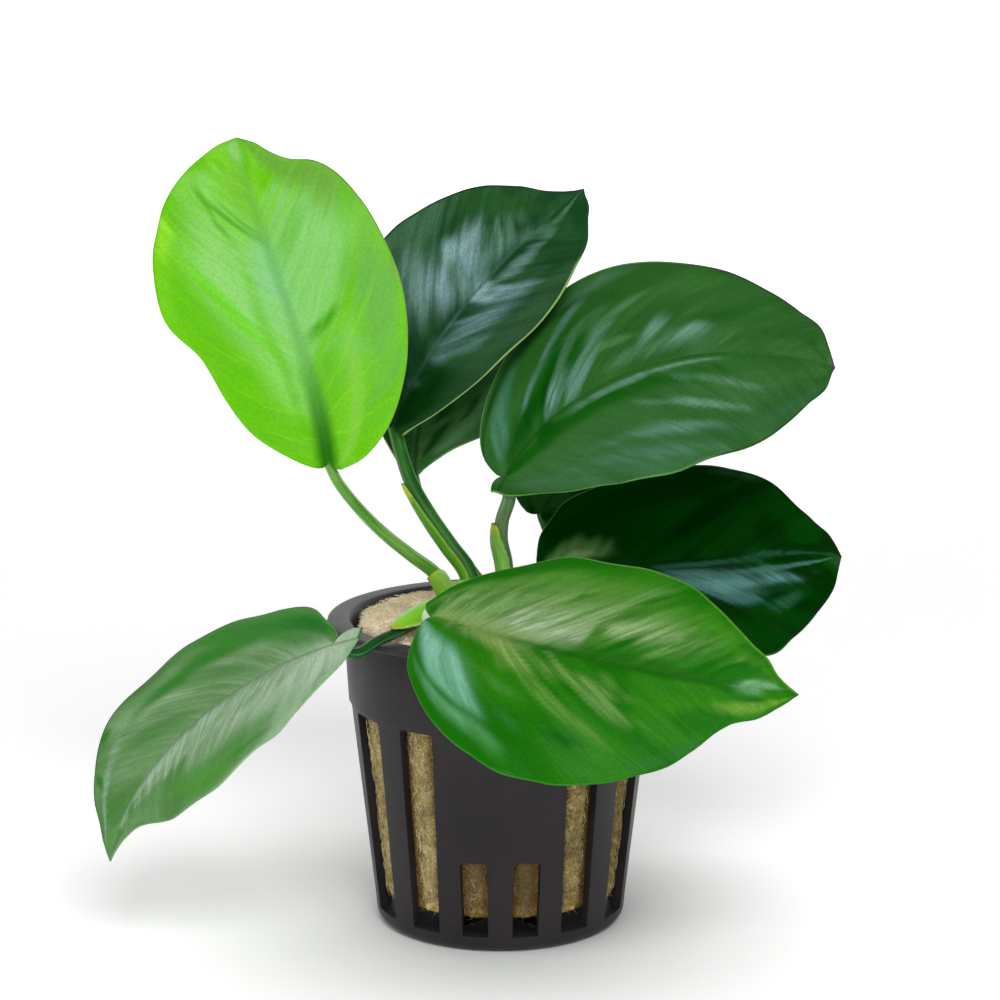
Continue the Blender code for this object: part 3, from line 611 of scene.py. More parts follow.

# The strokes of each leaf, the later ones over the earlier ones. Besides the leaves'
# own tones they hold painted light: most pale, bluish and whitish strokes are painted
# sheen and highlights, and some dark ones are painted shade and shadow.
TONE_AND_LIGHT_STROKES = {
    1: (
        # Leaf 1's pale whitish-green strokes are painted sheen
        (190, 560, 700, 980, 420, (150, 216, 122), 0.9, 0.25),
        (220, 400, 560, 640, 160, (138, 208, 104), 0.6, 0.5),
        (680, 1000, 1000, 350, 380, (142, 208, 128), 0.85, 0.3),
        (1080, 560, 1290, 1200, 200, (106, 172, 84), 0.7, 0.2),
        (560, 560, 740, 960, 120, (140, 206, 150), 0.7, 0.2),
        (520, 150, 900, 330, 230, (108, 164, 62), 0.9, 0.1),
        (420, 200, 560, 450, 140, (118, 190, 52), 0.8, 0.2),
        (90, 450, 110, 900, 110, (172, 246, 62), 0.9, 0.2),
        (160, 900, 420, 1500, 160, (122, 212, 10), 0.6, 0.1),
        (420, 60, 500, 110, 30, (96, 156, 60), 0.8, 0.1),
        (150, 650, 640, 1150, 50, (112, 216, 24), 0.8, 0.2),
        (120, 950, 850, 1650, 420, (98, 192, 0), 0.95, 0.0),
        (700, 1250, 850, 1550, 160, (92, 188, 0), 0.6, 0.1),
        (900, 1180, 950, 1500, 200, (92, 184, 12), 0.75, 0.1),
        (1080, 1380, 1090, 1620, 210, (140, 200, 84), 0.5, 0.1),
        (850, 1100, 995, 930, 50, (66, 160, 14), 0.95, 0.2),
        (1000, 860, 1045, 640, 40, (98, 182, 60), 0.6, 0.2),
        (700, 700, 810, 420, 70, (100, 180, 62), 0.65, 0.6),
        (640, 460, 690, 560, 70, (146, 208, 122), 0.5, 0.3),
        # painted shade in leaf 1's wrinkles
        (300, 390, 580, 615, 22, (82, 170, 28), 0.9, 0.4),
        (260, 330, 450, 620, 20, (84, 174, 28), 0.85, 0.4),
        (390, 420, 560, 560, 14, (86, 174, 34), 0.8, 0.4),
        (440, 110, 500, 170, 50, (152, 208, 122), 0.8, 0.2),
        (900, 1130, 1150, 1080, 60, (124, 198, 104), 0.5, 0.8),
    ),
    2: (
        (330, 560, 760, 560, 330, (88, 128, 112), 0.75, 0.3),
        (130, 420, 500, 220, 200, (72, 112, 84), 0.75, 0.5),
        (560, 200, 1050, 260, 130, (36, 84, 36), 0.9, 0.1),
        (480, 1250, 1150, 750, 250, (50, 84, 54), 0.9, 0.1),
        (150, 1300, 420, 1500, 300, (4, 46, 6), 0.95, 0),
        (170, 1050, 330, 1300, 110, (16, 62, 30), 0.8, 0.1),
        (230, 1000, 330, 1130, 150, (30, 70, 50), 0.6, 0.2),
        # Leaf 2's pale bluish-grey strokes from here on are painted sheen
        (240, 560, 320, 900, 100, (122, 160, 152), 0.8, 0.4),
        (170, 620, 250, 950, 60, (90, 130, 120), 0.6, 0.4),
        (400, 590, 455, 840, 130, (138, 170, 176), 0.92, 0.3),
        (590, 350, 600, 660, 130, (136, 170, 174), 0.92, 0.25),
        (470, 420, 500, 560, 90, (144, 182, 182), 0.9, 0.3),
        (515, 500, 560, 660, 36, (98, 136, 132), 0.8, 0.2),
        (690, 480, 650, 620, 60, (85, 125, 110), 0.7, 0.4),
        (705, 330, 690, 480, 70, (60, 102, 74), 0.75, 0.4),
        (430, 1040, 900, 760, 120, (120, 152, 156), 0.85, 0.5),
        (640, 720, 760, 760, 110, (160, 194, 204), 0.95, 0.2),
        (800, 620, 1010, 490, 90, (112, 146, 142), 0.85, 0.4),
        (900, 420, 1050, 370, 40, (90, 130, 115), 0.6, 0.5),
        (760, 300, 775, 500, 34, (104, 142, 124), 0.8, 0.5),
        (820, 270, 850, 420, 40, (84, 122, 96), 0.7, 0.5),
        (890, 250, 930, 330, 60, (74, 112, 84), 0.6, 0.5),
        (560, 1060, 700, 1015, 50, (86, 124, 112), 0.8, 0.3),
        (430, 1080, 560, 1050, 60, (70, 108, 96), 0.7, 0.3),
        (780, 680, 960, 650, 30, (48, 86, 58), 0.9, 0.1),
        (1170, 240, 1240, 180, 70, (88, 126, 98), 0.8, 0.3),
        (1290, 150, 1300, 350, 40, (22, 66, 34), 0.7, 0.1),
        (290, 1120, 400, 1330, 150, (4, 50, 8), 0.9, 0),
    ),
    3: (
        (200, 420, 320, 330, 90, (70, 110, 70), 0.7, 0.4),
        # painted shadow cast by leaf 2's edge
        (290, 275, 190, 380, 30, (14, 50, 14), 0.95, 0.2),
        (240, 235, 330, 165, 26, (12, 46, 14), 0.9, 0.3),
        (390, 190, 460, 120, 34, (16, 52, 18), 0.9, 0.3),
        (190, 440, 230, 390, 30, (26, 74, 24), 0.8, 0.1),
        (60, 340, 100, 430, 60, (6, 60, 14), 0.9, 0.1),
    ),
    4: (
        (350, 1080, 1250, 1050, 240, (68, 112, 76), 0.8, 0.4),
        (600, 800, 1300, 800, 300, (60, 106, 56), 0.7, 0.3),
        (230, 1040, 560, 820, 240, (14, 84, 4), 0.9, 0.1),
        (215, 1050, 400, 560, 90, (4, 76, 4), 0.95, 0.1),
        (345, 1000, 420, 700, 40, (10, 76, 10), 0.9, 0.1),
        (390, 640, 590, 290, 90, (0, 76, 0), 0.9, 0.1),
        # painted shadow cast by leaf 2
        (110, 700, 330, 420, 160, (0, 40, 10), 0.7, 0.1),
        # Leaf 4's pale bluish strokes are painted sheen
        (130, 780, 160, 1020, 70, (80, 132, 106), 0.8, 0.4),
        (190, 650, 180, 850, 14, (60, 110, 90), 0.7, 0.3),
        (262, 820, 330, 610, 30, (104, 144, 136), 0.9, 0.7),
        (335, 600, 440, 400, 20, (84, 122, 110), 0.85, 0.6),
        (440, 400, 560, 250, 24, (84, 124, 108), 0.8, 0.6),
        (560, 230, 760, 90, 50, (78, 120, 88), 0.7, 0.7),
        (405, 810, 440, 640, 44, (112, 152, 140), 0.95, 0.8),
        (430, 640, 500, 440, 26, (84, 124, 96), 0.7, 0.6),
        (500, 440, 640, 290, 40, (78, 118, 78), 0.6, 0.6),
        (510, 730, 600, 500, 44, (108, 148, 136), 0.9, 0.6),
        (600, 500, 680, 360, 40, (92, 132, 108), 0.8, 0.6),
        (680, 350, 880, 200, 30, (84, 126, 90), 0.85, 0.4),
        (760, 580, 860, 470, 110, (84, 128, 92), 0.7, 0.3),
        (860, 470, 950, 330, 60, (112, 156, 136), 0.9, 0.3),
        (940, 440, 1180, 440, 90, (92, 136, 104), 0.7, 0.3),
        (1040, 400, 1180, 400, 70, (114, 158, 138), 0.95, 0.3),
        (1000, 200, 1300, 140, 60, (60, 112, 48), 0.5, 0.2),
        (1200, 350, 1500, 300, 60, (34, 88, 24), 0.5, 0.2),
        (362, 800, 392, 640, 20, (4, 66, 6), 0.8, 0.1),
        (700, 490, 800, 420, 60, (86, 132, 84), 0.8, 0.3),
        # painted highlight along leaf 4's midrib
        (560, 770, 880, 610, 24, (104, 144, 122), 0.85, 0.2),
        (840, 640, 1180, 525, 18, (112, 150, 126), 0.9, 0.2),
        (910, 742, 1380, 782, 30, (108, 148, 124), 0.85, 0.3),
        (900, 880, 1270, 880, 60, (96, 136, 116), 0.85, 0.4),
        (650, 1040, 1210, 990, 70, (84, 124, 100), 0.7, 0.6),
        (1100, 625, 1440, 690, 28, (92, 134, 104), 0.8, 0.5),
        (1300, 900, 1700, 780, 100, (50, 98, 60), 0.7, 0.3),
        (1790, 480, 1820, 600, 50, (90, 110, 88), 0.6, 0.1),
    ),
    5: (
        (600, 250, 1000, 200, 200, (0, 40, 0), 0.7, 0.1, 0.6),
        (1150, 250, 1450, 420, 100, (8, 64, 8), 0.6, 0.2),
        (950, 100, 1180, 150, 40, (40, 84, 48), 0.6, 0.5),
        # Leaf 5's pale bluish strokes are painted highlight
        (750, 630, 1180, 720, 140, (98, 146, 144), 0.95, 0.3),
        (1100, 600, 1330, 590, 100, (74, 120, 106), 0.9, 0.3),
        (700, 600, 1000, 555, 26, (56, 104, 88), 0.8, 0.3),
        (1000, 550, 1370, 500, 30, (44, 92, 70), 0.7, 0.5),
        (730, 602, 1050, 582, 16, (0, 50, 10), 0.8, 0.1),
        (950, 730, 1130, 770, 40, (66, 112, 104), 0.9, 0.2),
        (1230, 780, 1350, 730, 50, (44, 92, 66), 0.8, 0.3),
        (1130, 690, 1330, 700, 50, (0, 56, 6), 0.9, 0.1),
        (110, 500, 330, 500, 110, (72, 104, 58), 0.9, 0.2, 0.55),
        (180, 530, 290, 535, 50, (104, 134, 92), 0.7, 0.2, 0.55),
        (1530, 500, 1540, 600, 60, (44, 84, 44), 0.7, 0.2),
    ),
    6: (
        (300, 200, 1300, 120, 120, (84, 140, 52), 0.85, 0.1),
        (150, 260, 500, 170, 100, (30, 104, 10), 0.9, 0.1),
        # Leaf 6's pale strokes from here on are painted sheen
        (350, 350, 1300, 300, 290, (126, 162, 96), 0.9, 0.6),
        (900, 250, 1300, 300, 150, (104, 146, 72), 0.6, 0.9),
        (250, 350, 600, 370, 70, (132, 162, 92), 0.9, 0.2),
        (600, 350, 920, 420, 150, (176, 196, 158), 0.98, 0.5),
        (1000, 420, 1250, 380, 150, (148, 174, 120), 0.9, 0.6),
        (520, 330, 680, 190, 24, (120, 156, 90), 0.7, 0.3),
        (640, 350, 900, 190, 26, (124, 158, 94), 0.7, 0.3),
        (760, 390, 1250, 220, 34, (130, 164, 104), 0.8, 0.5),
        (905, 480, 1000, 370, 40, (54, 112, 24), 0.9, 0.1),
        (1000, 370, 1300, 270, 30, (56, 114, 26), 0.9, 0.1),
        (940, 480, 1020, 430, 60, (68, 122, 38), 0.8, 0.3),
        (1150, 520, 1550, 480, 100, (46, 112, 28), 0.6, 0.5),
        (1150, 540, 1450, 430, 30, (98, 146, 72), 0.65, 0.6),
        (1350, 350, 1700, 480, 160, (70, 136, 32), 0.5, 0.3),
        (1480, 340, 1620, 420, 60, (90, 150, 42), 0.3, 0.3),
        (800, 500, 1600, 640, 70, (32, 94, 10), 0.8, 0.1),
        (300, 370, 560, 450, 80, (136, 160, 96), 0.9, 0.2),
        (430, 420, 640, 600, 46, (140, 168, 92), 0.9, 0.3),
        (640, 620, 930, 920, 50, (104, 150, 66), 0.8, 0.8),
        (720, 560, 1040, 740, 60, (116, 154, 78), 0.85, 0.8),
        (900, 680, 1100, 860, 60, (120, 158, 88), 0.8, 0.6),
        (980, 600, 1050, 700, 50, (100, 146, 60), 0.6, 0.3),
        (470, 480, 500, 570, 30, (104, 146, 62), 0.7, 0.3),
        (370, 560, 500, 700, 30, (80, 136, 60), 0.6, 0.5),
        (600, 520, 860, 830, 22, (30, 112, 0), 0.9, 0.1),
        (740, 890, 860, 970, 60, (4, 90, 0), 0.8, 0.0),
        # painted highlight on leaf 6's lobe
        (180, 430, 220, 660, 170, (136, 194, 170), 0.95, 0.35),
        (210, 600, 280, 750, 140, (122, 182, 150), 0.9, 0.4),
        (180, 700, 300, 880, 130, (104, 162, 118), 0.85, 0.4),
        (150, 700, 300, 900, 60, (60, 130, 60), 0.5, 0.5),
        (420, 900, 480, 1030, 80, (60, 130, 50), 0.5, 0.5),
        (1200, 1060, 1450, 960, 50, (50, 110, 50), 0.7, 0.5),
        (1300, 800, 1500, 700, 150, (50, 128, 8), 0.7, 0.2),
        (1680, 700, 1800, 640, 80, (126, 178, 128), 0.9, 0.2),
        (1640, 750, 1760, 790, 110, (120, 166, 60), 0.7, 0.3),
        (1800, 720, 1900, 690, 60, (52, 128, 14), 0.7, 0.1),
    ),
    7: (
        (150, 620, 1000, 330, 280, (116, 150, 104), 0.85, 0.7),
        (700, 290, 1150, 250, 60, (112, 148, 104), 0.8, 0.5),
        (380, 400, 800, 280, 40, (130, 160, 118), 0.8, 0.5),
        (260, 560, 620, 440, 50, (144, 172, 134), 0.85, 0.4),
        (180, 640, 400, 540, 40, (138, 168, 126), 0.8, 0.4),
        (200, 760, 520, 580, 50, (74, 126, 62), 0.8, 0.4),
        (520, 430, 830, 350, 36, (82, 130, 70), 0.8, 0.4),
        (150, 850, 450, 740, 70, (112, 150, 104), 0.8, 0.5),
        # painted sheen along leaf 7's midrib
        (320, 880, 700, 560, 90, (156, 182, 156), 0.95, 0.5),
        (680, 600, 1050, 390, 150, (152, 172, 146), 0.95, 0.5),
        (1050, 500, 1250, 400, 60, (140, 174, 132), 0.8, 0.4),
        (400, 340, 1180, 90, 140, (46, 120, 36), 0.95, 0.1),
        (300, 430, 500, 300, 60, (60, 124, 50), 0.7, 0.2),
        (620, 210, 1150, 60, 100, (54, 126, 40), 0.85, 0.1),
        (1060, 90, 1240, 180, 80, (28, 106, 36), 0.9, 0.1),
        (950, 120, 1200, 270, 90, (52, 122, 44), 0.7, 0.2),
        (450, 1000, 950, 640, 150, (70, 128, 54), 0.9, 0.1),
        (780, 790, 1000, 580, 90, (66, 124, 50), 0.85, 0.3),
        (420, 960, 700, 880, 100, (80, 142, 56), 0.7, 0.1),
        (120, 1000, 140, 1150, 60, (140, 172, 148), 0.7, 0.3),
        (120, 1250, 170, 1200, 60, (80, 136, 64), 0.7, 0.1),
        (100, 700, 150, 680, 40, (46, 116, 28), 0.9, 0.1),
        (80, 890, 120, 930, 40, (46, 116, 28), 0.9, 0.1),
        (140, 1060, 240, 1000, 50, (60, 120, 50), 0.5, 0.3),
    ),
}


def noise_at(first, second, third):
    """Smooth noise, about -0.5 to 0.5, at each of many places."""
    return np.array([noise.noise(Vector(place)) for place in zip(first, second, third)])


def own_colour(colour, light):
    """The linear colour of a surface that shows the given 8-bit one in a light."""
    return tuple(min(1.0, value / light) for value in srgb(*colour))


def with_own_colours(item, names, light):
    return item._replace(**{name: own_colour(getattr(item, name), light) for name in names})


def own_look(number):
    """A leaf's look with its own linear colours in place of the photo's."""
    look = LOOKS[number]
    parts = {name: with_own_colours(getattr(look, name), ("foot_colour", "colour"), look.light)
             for name in ("rib", "left_edge", "right_edge")}
    return with_own_colours(look, ("base", "deep", "vein_tone"), look.light)._replace(**parts)


def photo_pixels(points):
    """Where points in millimetres show in the photo."""
    turn = np.array(Matrix.Rotation(math.radians(CAMERA_TILT), 3, "X"))
    seen = (points - np.array(CAMERA_PLACE) / MM) @ turn
    scale = CAMERA_LENS / SENSOR_WIDTH * PHOTO_SIDE
    return PHOTO_SIDE / 2 + scale * seen[:, :2] * (1, -1) / -seen[:, 2:]


def leaf_place(pixel, pixels, root, across):
    """The vein's root and the share across where a pixel of the photo shows a leaf, from
    the four points of the leaf that show nearest to it."""
    away = np.hypot(*(pixels - pixel).T)
    nearest = np.argsort(away)[:4]
    weight = 1 / (away[nearest] + 0.001)
    return np.array([root[nearest], across[nearest]]) @ weight / weight.sum()


def patch_of(stroke, crop, light, place_of):
    """The patch of the leaf that a stroke of the crop stands for. One that leads outward
    leans as it does, and one that runs along the midrib doesn't lean."""
    corner = np.array([crop.left, crop.top])
    start = corner + np.array([stroke.start_x, stroke.start_y]) / crop.enlargement
    end = corner + np.array([stroke.end_x, stroke.end_y]) / crop.enlargement
    middle = (start + end) / 2
    along = unit(end - start)
    aside = np.array([-along[1], along[0]]) * stroke.width / crop.enlargement / 2
    reach = place_of(end) - place_of(start)
    spread = place_of(middle + aside) - place_of(middle - aside)
    if abs(reach[1]) >= LEAST_LEANING * abs(reach[0]):
        lean = reach[0] / reach[1]
        root_reach = abs(spread[0] - lean * spread[1]) / 2 / SOLID_WIDTH
        across_reach = abs(reach[1]) / 2 / SOLID_LENGTH
    else:
        lean = 0.0
        root_reach = abs(reach[0]) / 2 / SOLID_LENGTH
        across_reach = max(abs(spread[1]) / 2 / SOLID_WIDTH, LEAST_ACROSS_REACH)
    colour = own_colour(stroke.colour, stroke.light or light)
    return Patch(*place_of(middle), lean, max(root_reach, LEAST_ROOT_REACH), across_reach,
                 colour, stroke.strength, stroke.streaks)


def leaf_patches(number, points, root, across):
    """A leaf's patches, the later ones over the earlier ones."""
    look = LOOKS[number]
    place_of = partial(leaf_place, pixels=photo_pixels(points), root=root, across=across)
    strokes = [Stroke(*row) for row in TONE_AND_LIGHT_STROKES.get(number, ())]
    patches = [patch_of(stroke, CROPS[number], look.light, place_of) for stroke in strokes]
    if look.lobe_patches:
        lobe_patches = [Patch(*row) for row in look.lobe_patches]
        under, over = (patch._replace(colour=srgb(*patch.colour)) for patch in lobe_patches)
        patches = [under, *patches, over]
    return patches


def leaf_tone_and_light(number, points, root, across):
    """Linear colour at each point of a leaf, with its patches, painted sheen and shade among
    them, in order, and how far the side veins break up the pale ones, the painted sheen."""
    look = own_look(number)
    side = HALVES_APART * np.sign(across) + number
    broad, band, thin_band = (
        noise_at(down * root, out * across, side) for down, out in (BROAD_SCALES, (26.0, 1.6), (50.0, 2.4)))
    band = band + 0.5 * thin_band
    share = smooth_step(-0.25, 0.25, broad)[:, None]
    colour = (1 - share) * np.array(look.base) + share * np.array(look.deep)
    painted_sheen = np.zeros_like(root)
    for patch in leaf_patches(number, points, root, across):
        wobble = 0.35 * broad + (0.25 + 0.8 * patch.streaks) * band
        down = np.abs(root - patch.root - patch.lean * (across - patch.across)) / patch.root_reach
        out = np.abs(across - patch.across) / patch.across_reach
        mask = smooth_step(1.35, 0.35, down + wobble) * smooth_step(1.3, 0.2, out + 0.5 * wobble)
        mask *= patch.strength
        paint = np.array(patch.colour)
        # Pale patches are painted sheen, and their streaks set how far the side veins break it up
        paler = patch.streaks if paint.sum() > 1.2 * np.sum(look.deep) else 0.0
        painted_sheen = (1 - mask) * painted_sheen + mask * paler
        colour = (1 - mask[:, None]) * colour + mask[:, None] * paint
    return colour, painted_sheen


def leaf_material(number, under):
    """Skin of a leaf; its under side is paler, duller and less marked."""
    look = own_look(number)
    nodes = Nodes(f"leaf_{number}_{'under' if under else 'upper'}_skin")
    root, across = nodes.uv("veins")
    rib_distance, margin_distance = nodes.uv("edges")
    side = nodes.times(nodes.math("SIGN", across), HALVES_APART)

    broad = nodes.bands(root, across, BROAD_SCALES, side, detail=2.0)
    band = nodes.bands(root, across, (38.0, 1.6), side, roughness=0.6)
    fine = nodes.bands(root, across, (130.0, 4.0), side, detail=4.0, roughness=0.65)
    creases = nodes.bands(root, across, (26.0, 24.0), side, roughness=0.6, distortion=0.6)
    pebbles = nodes.noise(nodes.place(), 2400.0)

    if under:
        colour = nodes.mix(nodes.step(broad, 0.38, 0.62), look.base, look.deep)
    else:
        # Dark streaks along the side veins break up the painted sheen
        lines = nodes.bands(root, across, (56.0, 2.4), side, roughness=0.6, distortion=0.3)
        lines = nodes.times(nodes.step(lines, 0.45, 0.60, 0.0, 0.9), nodes.attribute("painted_sheen"))
        colour = nodes.mix(lines, nodes.attribute("tone", "Color"), look.deep)
    colour = nodes.mix(nodes.step(band, 0.42, 0.62, 0.0, 0.6 * look.banding), colour, look.vein_tone)
    colour = nodes.mix(nodes.step(fine, 0.45, 0.7, 0.0, 0.06 + 0.2 * look.banding), colour, look.deep)
    # Dark lines along the creases: painted shade in the wrinkles
    crease_shade = nodes.step(nodes.away(creases), 0.0, 0.03, look.wrinkling, 0.0)
    colour = nodes.mix(crease_shade, colour, look.deep)

    # Side veins, which fade towards the margin
    vein = nodes.math("FRACT", nodes.math("MULTIPLY_ADD", broad, 1.2, nodes.times(root, VEINS_PER_LEAF)))
    vein = nodes.step(nodes.away(vein), 0.0, 0.07, look.vein_strength, 0.0)
    fading = nodes.step(nodes.math("ABSOLUTE", across), 0.5, 0.95, 1.0, 0.2)
    colour = nodes.mix(nodes.times(vein, fading), colour, look.vein_tone)

    # The midrib, whose distances are in millimetres
    rib = look.rib
    from_rib = nodes.math("MULTIPLY_ADD", band, 0.1, nodes.math("SUBTRACT", rib_distance, 0.05))
    reach = nodes.step(root, 0.0, 0.45, rib.foot_width, rib.width)
    line = nodes.step(nodes.math("DIVIDE", nodes.math("ABSOLUTE", from_rib), reach), 0.2, 1.3, 1.0, 0.0)
    line = nodes.times(line, nodes.step(root, 0.0, 0.35, rib.foot_strength, rib.strength))
    line = nodes.times(line, nodes.step(root, 0.55, 0.92, 1.0, rib.tip_strength))
    rib_colour = nodes.mix(nodes.step(root, 0.02, 0.38), rib.foot_colour, rib.colour)
    colour = nodes.mix(line, colour, rib_colour)

    # The thin rim along each margin
    edges = [nodes.mix(nodes.step(root, edge.turn - 0.1, edge.turn + 0.1), edge.foot_colour, edge.colour)
             for edge in (look.left_edge, look.right_edge)]
    width = nodes.step(rib_distance, -0.01, 0.01, look.left_edge.width, look.right_edge.width)
    rim = nodes.step(nodes.math("DIVIDE", margin_distance, width), 0.4, 1.2, 0.85, 0.0)
    colour = nodes.mix(rim, colour, nodes.mix(nodes.step(rib_distance, -0.01, 0.01), *edges))
    if under:
        colour = nodes.mix(0.35, colour, srgb(110, 150, 90))
    mottled = nodes.node("ShaderNodeHueSaturation")
    nodes.link(colour, mottled.inputs["Color"])
    nodes.link(nodes.step(pebbles, 0.3, 0.7, 0.93, 1.07), mottled.inputs["Value"])

    normal = nodes.bump(band, 0.00035, 0.5)
    normal = nodes.bump(fine, 0.00014, 0.45, normal)
    normal = nodes.bump(creases, 0.0002, 0.25 + 0.6 * look.wrinkling, normal)
    normal = nodes.bump(pebbles, 0.00004, 0.4, normal)
    roughness = nodes.step(band, 0.3, 0.7, look.roughness - 0.05, look.roughness + 0.08)
    if under:
        roughness = nodes.math("ADD", roughness, 0.2)
    constants = {"Specular_IOR_Level": 0.02 if number == DARK_LEAF else 0.05}
    if number == YOUNG_LEAF:
        constants |= {"Subsurface_Weight": 0.12, "Subsurface_Scale": 0.0008}
        nodes.shader.inputs["Subsurface Radius"].default_value = (0.5, 1.0, 0.1)
    return nodes.finish(mottled.outputs[0], roughness, normal, **constants)


class Blade:
    """The surface of a leaf, addressed by distances along and across it."""

    def __init__(self, leaf, margins=SMOOTH_MARGINS):
        self.leaf = leaf
        self.margins = margins
        corners = np.array(leaf.midrib)
        t = np.linspace(0.0, 1.0, 200)[:, None]
        self.rib = (
            (1 - t) ** 3 * corners[0]
            + 3 * (1 - t) ** 2 * t * corners[1]
            + 3 * (1 - t) * t**2 * corners[2]
            + t**3 * corners[3]
        )
        self.tangents = unit(np.gradient(self.rib, axis=0))
        self.lengths = lengths_along(self.rib)
        self.length = self.lengths[-1]

    def frame(self, along):
        """Points on the midrib, its directions, the leaf's right, its face and the shares."""
        held = np.clip(along, 0.0, self.length)
        tangent = unit(values_at(held, self.lengths, self.tangents))
        share = (held / self.length)[..., None]
        base_face, tip_face = (unit(np.array(face)) for face in self.leaf.faces)
        right = unit(np.cross(tangent, (1 - share) * base_face + share * tip_face))
        face = np.cross(right, tangent)
        point = values_at(held, self.lengths, self.rib) + (along - held)[..., None] * tangent
        return point, tangent, right, face, share[..., 0]

    def half_outline(self, side, count):
        """Flat points (along, across) from the back of a lobe to the tip."""
        leaf = self.leaf
        lobe, widths = (leaf.right_lobe, leaf.right) if side > 0 else (leaf.left_lobe, leaf.left)
        stations = [(share * self.length, width) for share, width in zip(STATIONS, widths)]
        outline = smooth_curve([(-lobe[0], lobe[1]), *stations, (self.length, 0.0)], count)
        place = np.linspace(0.0, 1.0, count)
        offset = np.zeros(count)
        for row in self.margins[1 if side > 0 else 0]:
            bulge = Bulge(*row)
            offset += bulge.height * smooth_step(bulge.reach, 0.0, np.abs(place - bulge.place))
        tangent = unit(np.gradient(outline, axis=0))
        return outline + offset[:, None] * np.stack([-tangent[:, 1], tangent[:, 0]], axis=1)

    def points(self, side, along, across, edge_share, extra_lift):
        """Place flat points in space; edge_share is 0 on the midrib, 1 on the margin."""
        leaf = self.leaf
        point, _, right, face, share = self.frame(along)
        fold = leaf.right_fold if side > 0 else leaf.left_fold
        angle = np.radians((1 - share) * fold[0] + share * fold[1])
        height, ripples = leaf.wave
        phase = 2 * math.pi * ripples * share + (0.0 if side > 0 else math.pi / 2)
        lift = edge_share**2 * np.sin(math.pi * share) * (leaf.curl + height * np.sin(phase))
        lift = lift + extra_lift
        sideways = (side * across * np.cos(angle))[..., None] * right
        return point + sideways + (across * np.sin(angle) + lift)[..., None] * face


def vein_root(along_share, across_share):
    """Where, as a share of the midrib, the side vein through a flat point starts."""
    bow = VEIN_CURVE * across_share**2
    widening = (LATER_VEIN_SLOPE - FIRST_VEIN_SLOPE) / SLOPE_REACHED_AT
    early = (along_share - FIRST_VEIN_SLOPE * across_share - bow) / (1 + widening * across_share)
    late = along_share - LATER_VEIN_SLOPE * across_share - bow
    return np.maximum(early, late)


def relief(number, root, edge_share, across):
    """Height in millimetres of the furrow over the midrib and the swells between side veins."""
    chance = np.random.default_rng(SWELL_SEED + number)
    swell = np.zeros_like(root)
    for waves in SWELL_WAVES:
        phase, drift = chance.uniform(0, 2 * math.pi), chance.uniform(-1.5, 1.5)
        swell += np.sin(2 * math.pi * waves * root + phase + drift * edge_share) / waves
    fade = smooth_step(0.0, 2.0, across) * (1 - edge_share**6)
    onward = np.clip(root, 0, 1)
    furrow = FURROW_DEPTH * np.exp(-((across / (1.0 - 0.5 * onward)) ** 2)) * (1 - 0.7 * onward)
    return SWELLS.get(number, USUAL_SWELL) * swell * fade - furrow


def points_of(mesh):
    places = np.zeros(len(mesh.vertices) * 3)
    mesh.vertices.foreach_get("co", places)
    return places.reshape(-1, 3)


def grid_mesh(name, rows, columns):
    """A flat grid and, for each of its points, the row and the column."""
    body = bmesh.new()
    bmesh.ops.create_grid(body, x_segments=rows, y_segments=columns, size=1.0)
    mesh = bpy.data.meshes.new(name)
    body.to_mesh(mesh)
    body.free()
    places = points_of(mesh)
    row = np.rint((places[:, 0] + 1) / 2 * rows).astype(int)
    column = np.rint((places[:, 1] + 1) / 2 * columns).astype(int)
    return mesh, row, column


def set_points(mesh, points):
    mesh.vertices.foreach_set("co", (np.asarray(points) * MM).ravel())
    mesh.update()


def add_uv(mesh, name, first, second):
    """A map from two values per point."""
    corners = np.zeros(len(mesh.loops), dtype=int)
    mesh.loops.foreach_get("vertex_index", corners)
    layer = mesh.uv_layers.new(name=name)
    layer.data.foreach_set("uv", np.stack([first[corners], second[corners]], axis=1).ravel())


def weld(mesh, distance=1e-6, closed=False):
    """Merge the points that coincide and, where asked for, close the open ends."""
    body = bmesh.new()
    body.from_mesh(mesh)
    bmesh.ops.remove_doubles(body, verts=body.verts, dist=distance)
    if closed:
        ends = [edge for edge in body.edges if edge.is_boundary]
        bmesh.ops.holes_fill(body, edges=ends, sides=0)
        bmesh.ops.recalc_face_normals(body, faces=body.faces)
    body.to_mesh(mesh)
    body.free()


def in_scene(name, data):
    """A new object in the scene."""
    made = bpy.data.objects.new(name, data)
    bpy.context.scene.collection.objects.link(made)
    return made


def thicken(piece, thickness):
    """Give a surface a thickness in millimetres, half of it either side."""
    shell = piece.modifiers.new("thickness", "SOLIDIFY")
    shell.thickness = thickness * MM
    shell.offset = 0.0
    return shell


def add_piece(name, mesh, materials, slot, *nodes_replaced):
    """Link a mesh that is already in metres, and tie it to the frame."""
    for material in materials:
        mesh.materials.append(material)
    mesh.shade_smooth()
    piece = in_scene(name, mesh)
    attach(piece, "root")
    if nodes_replaced:
        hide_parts(*nodes_replaced)
    return piece


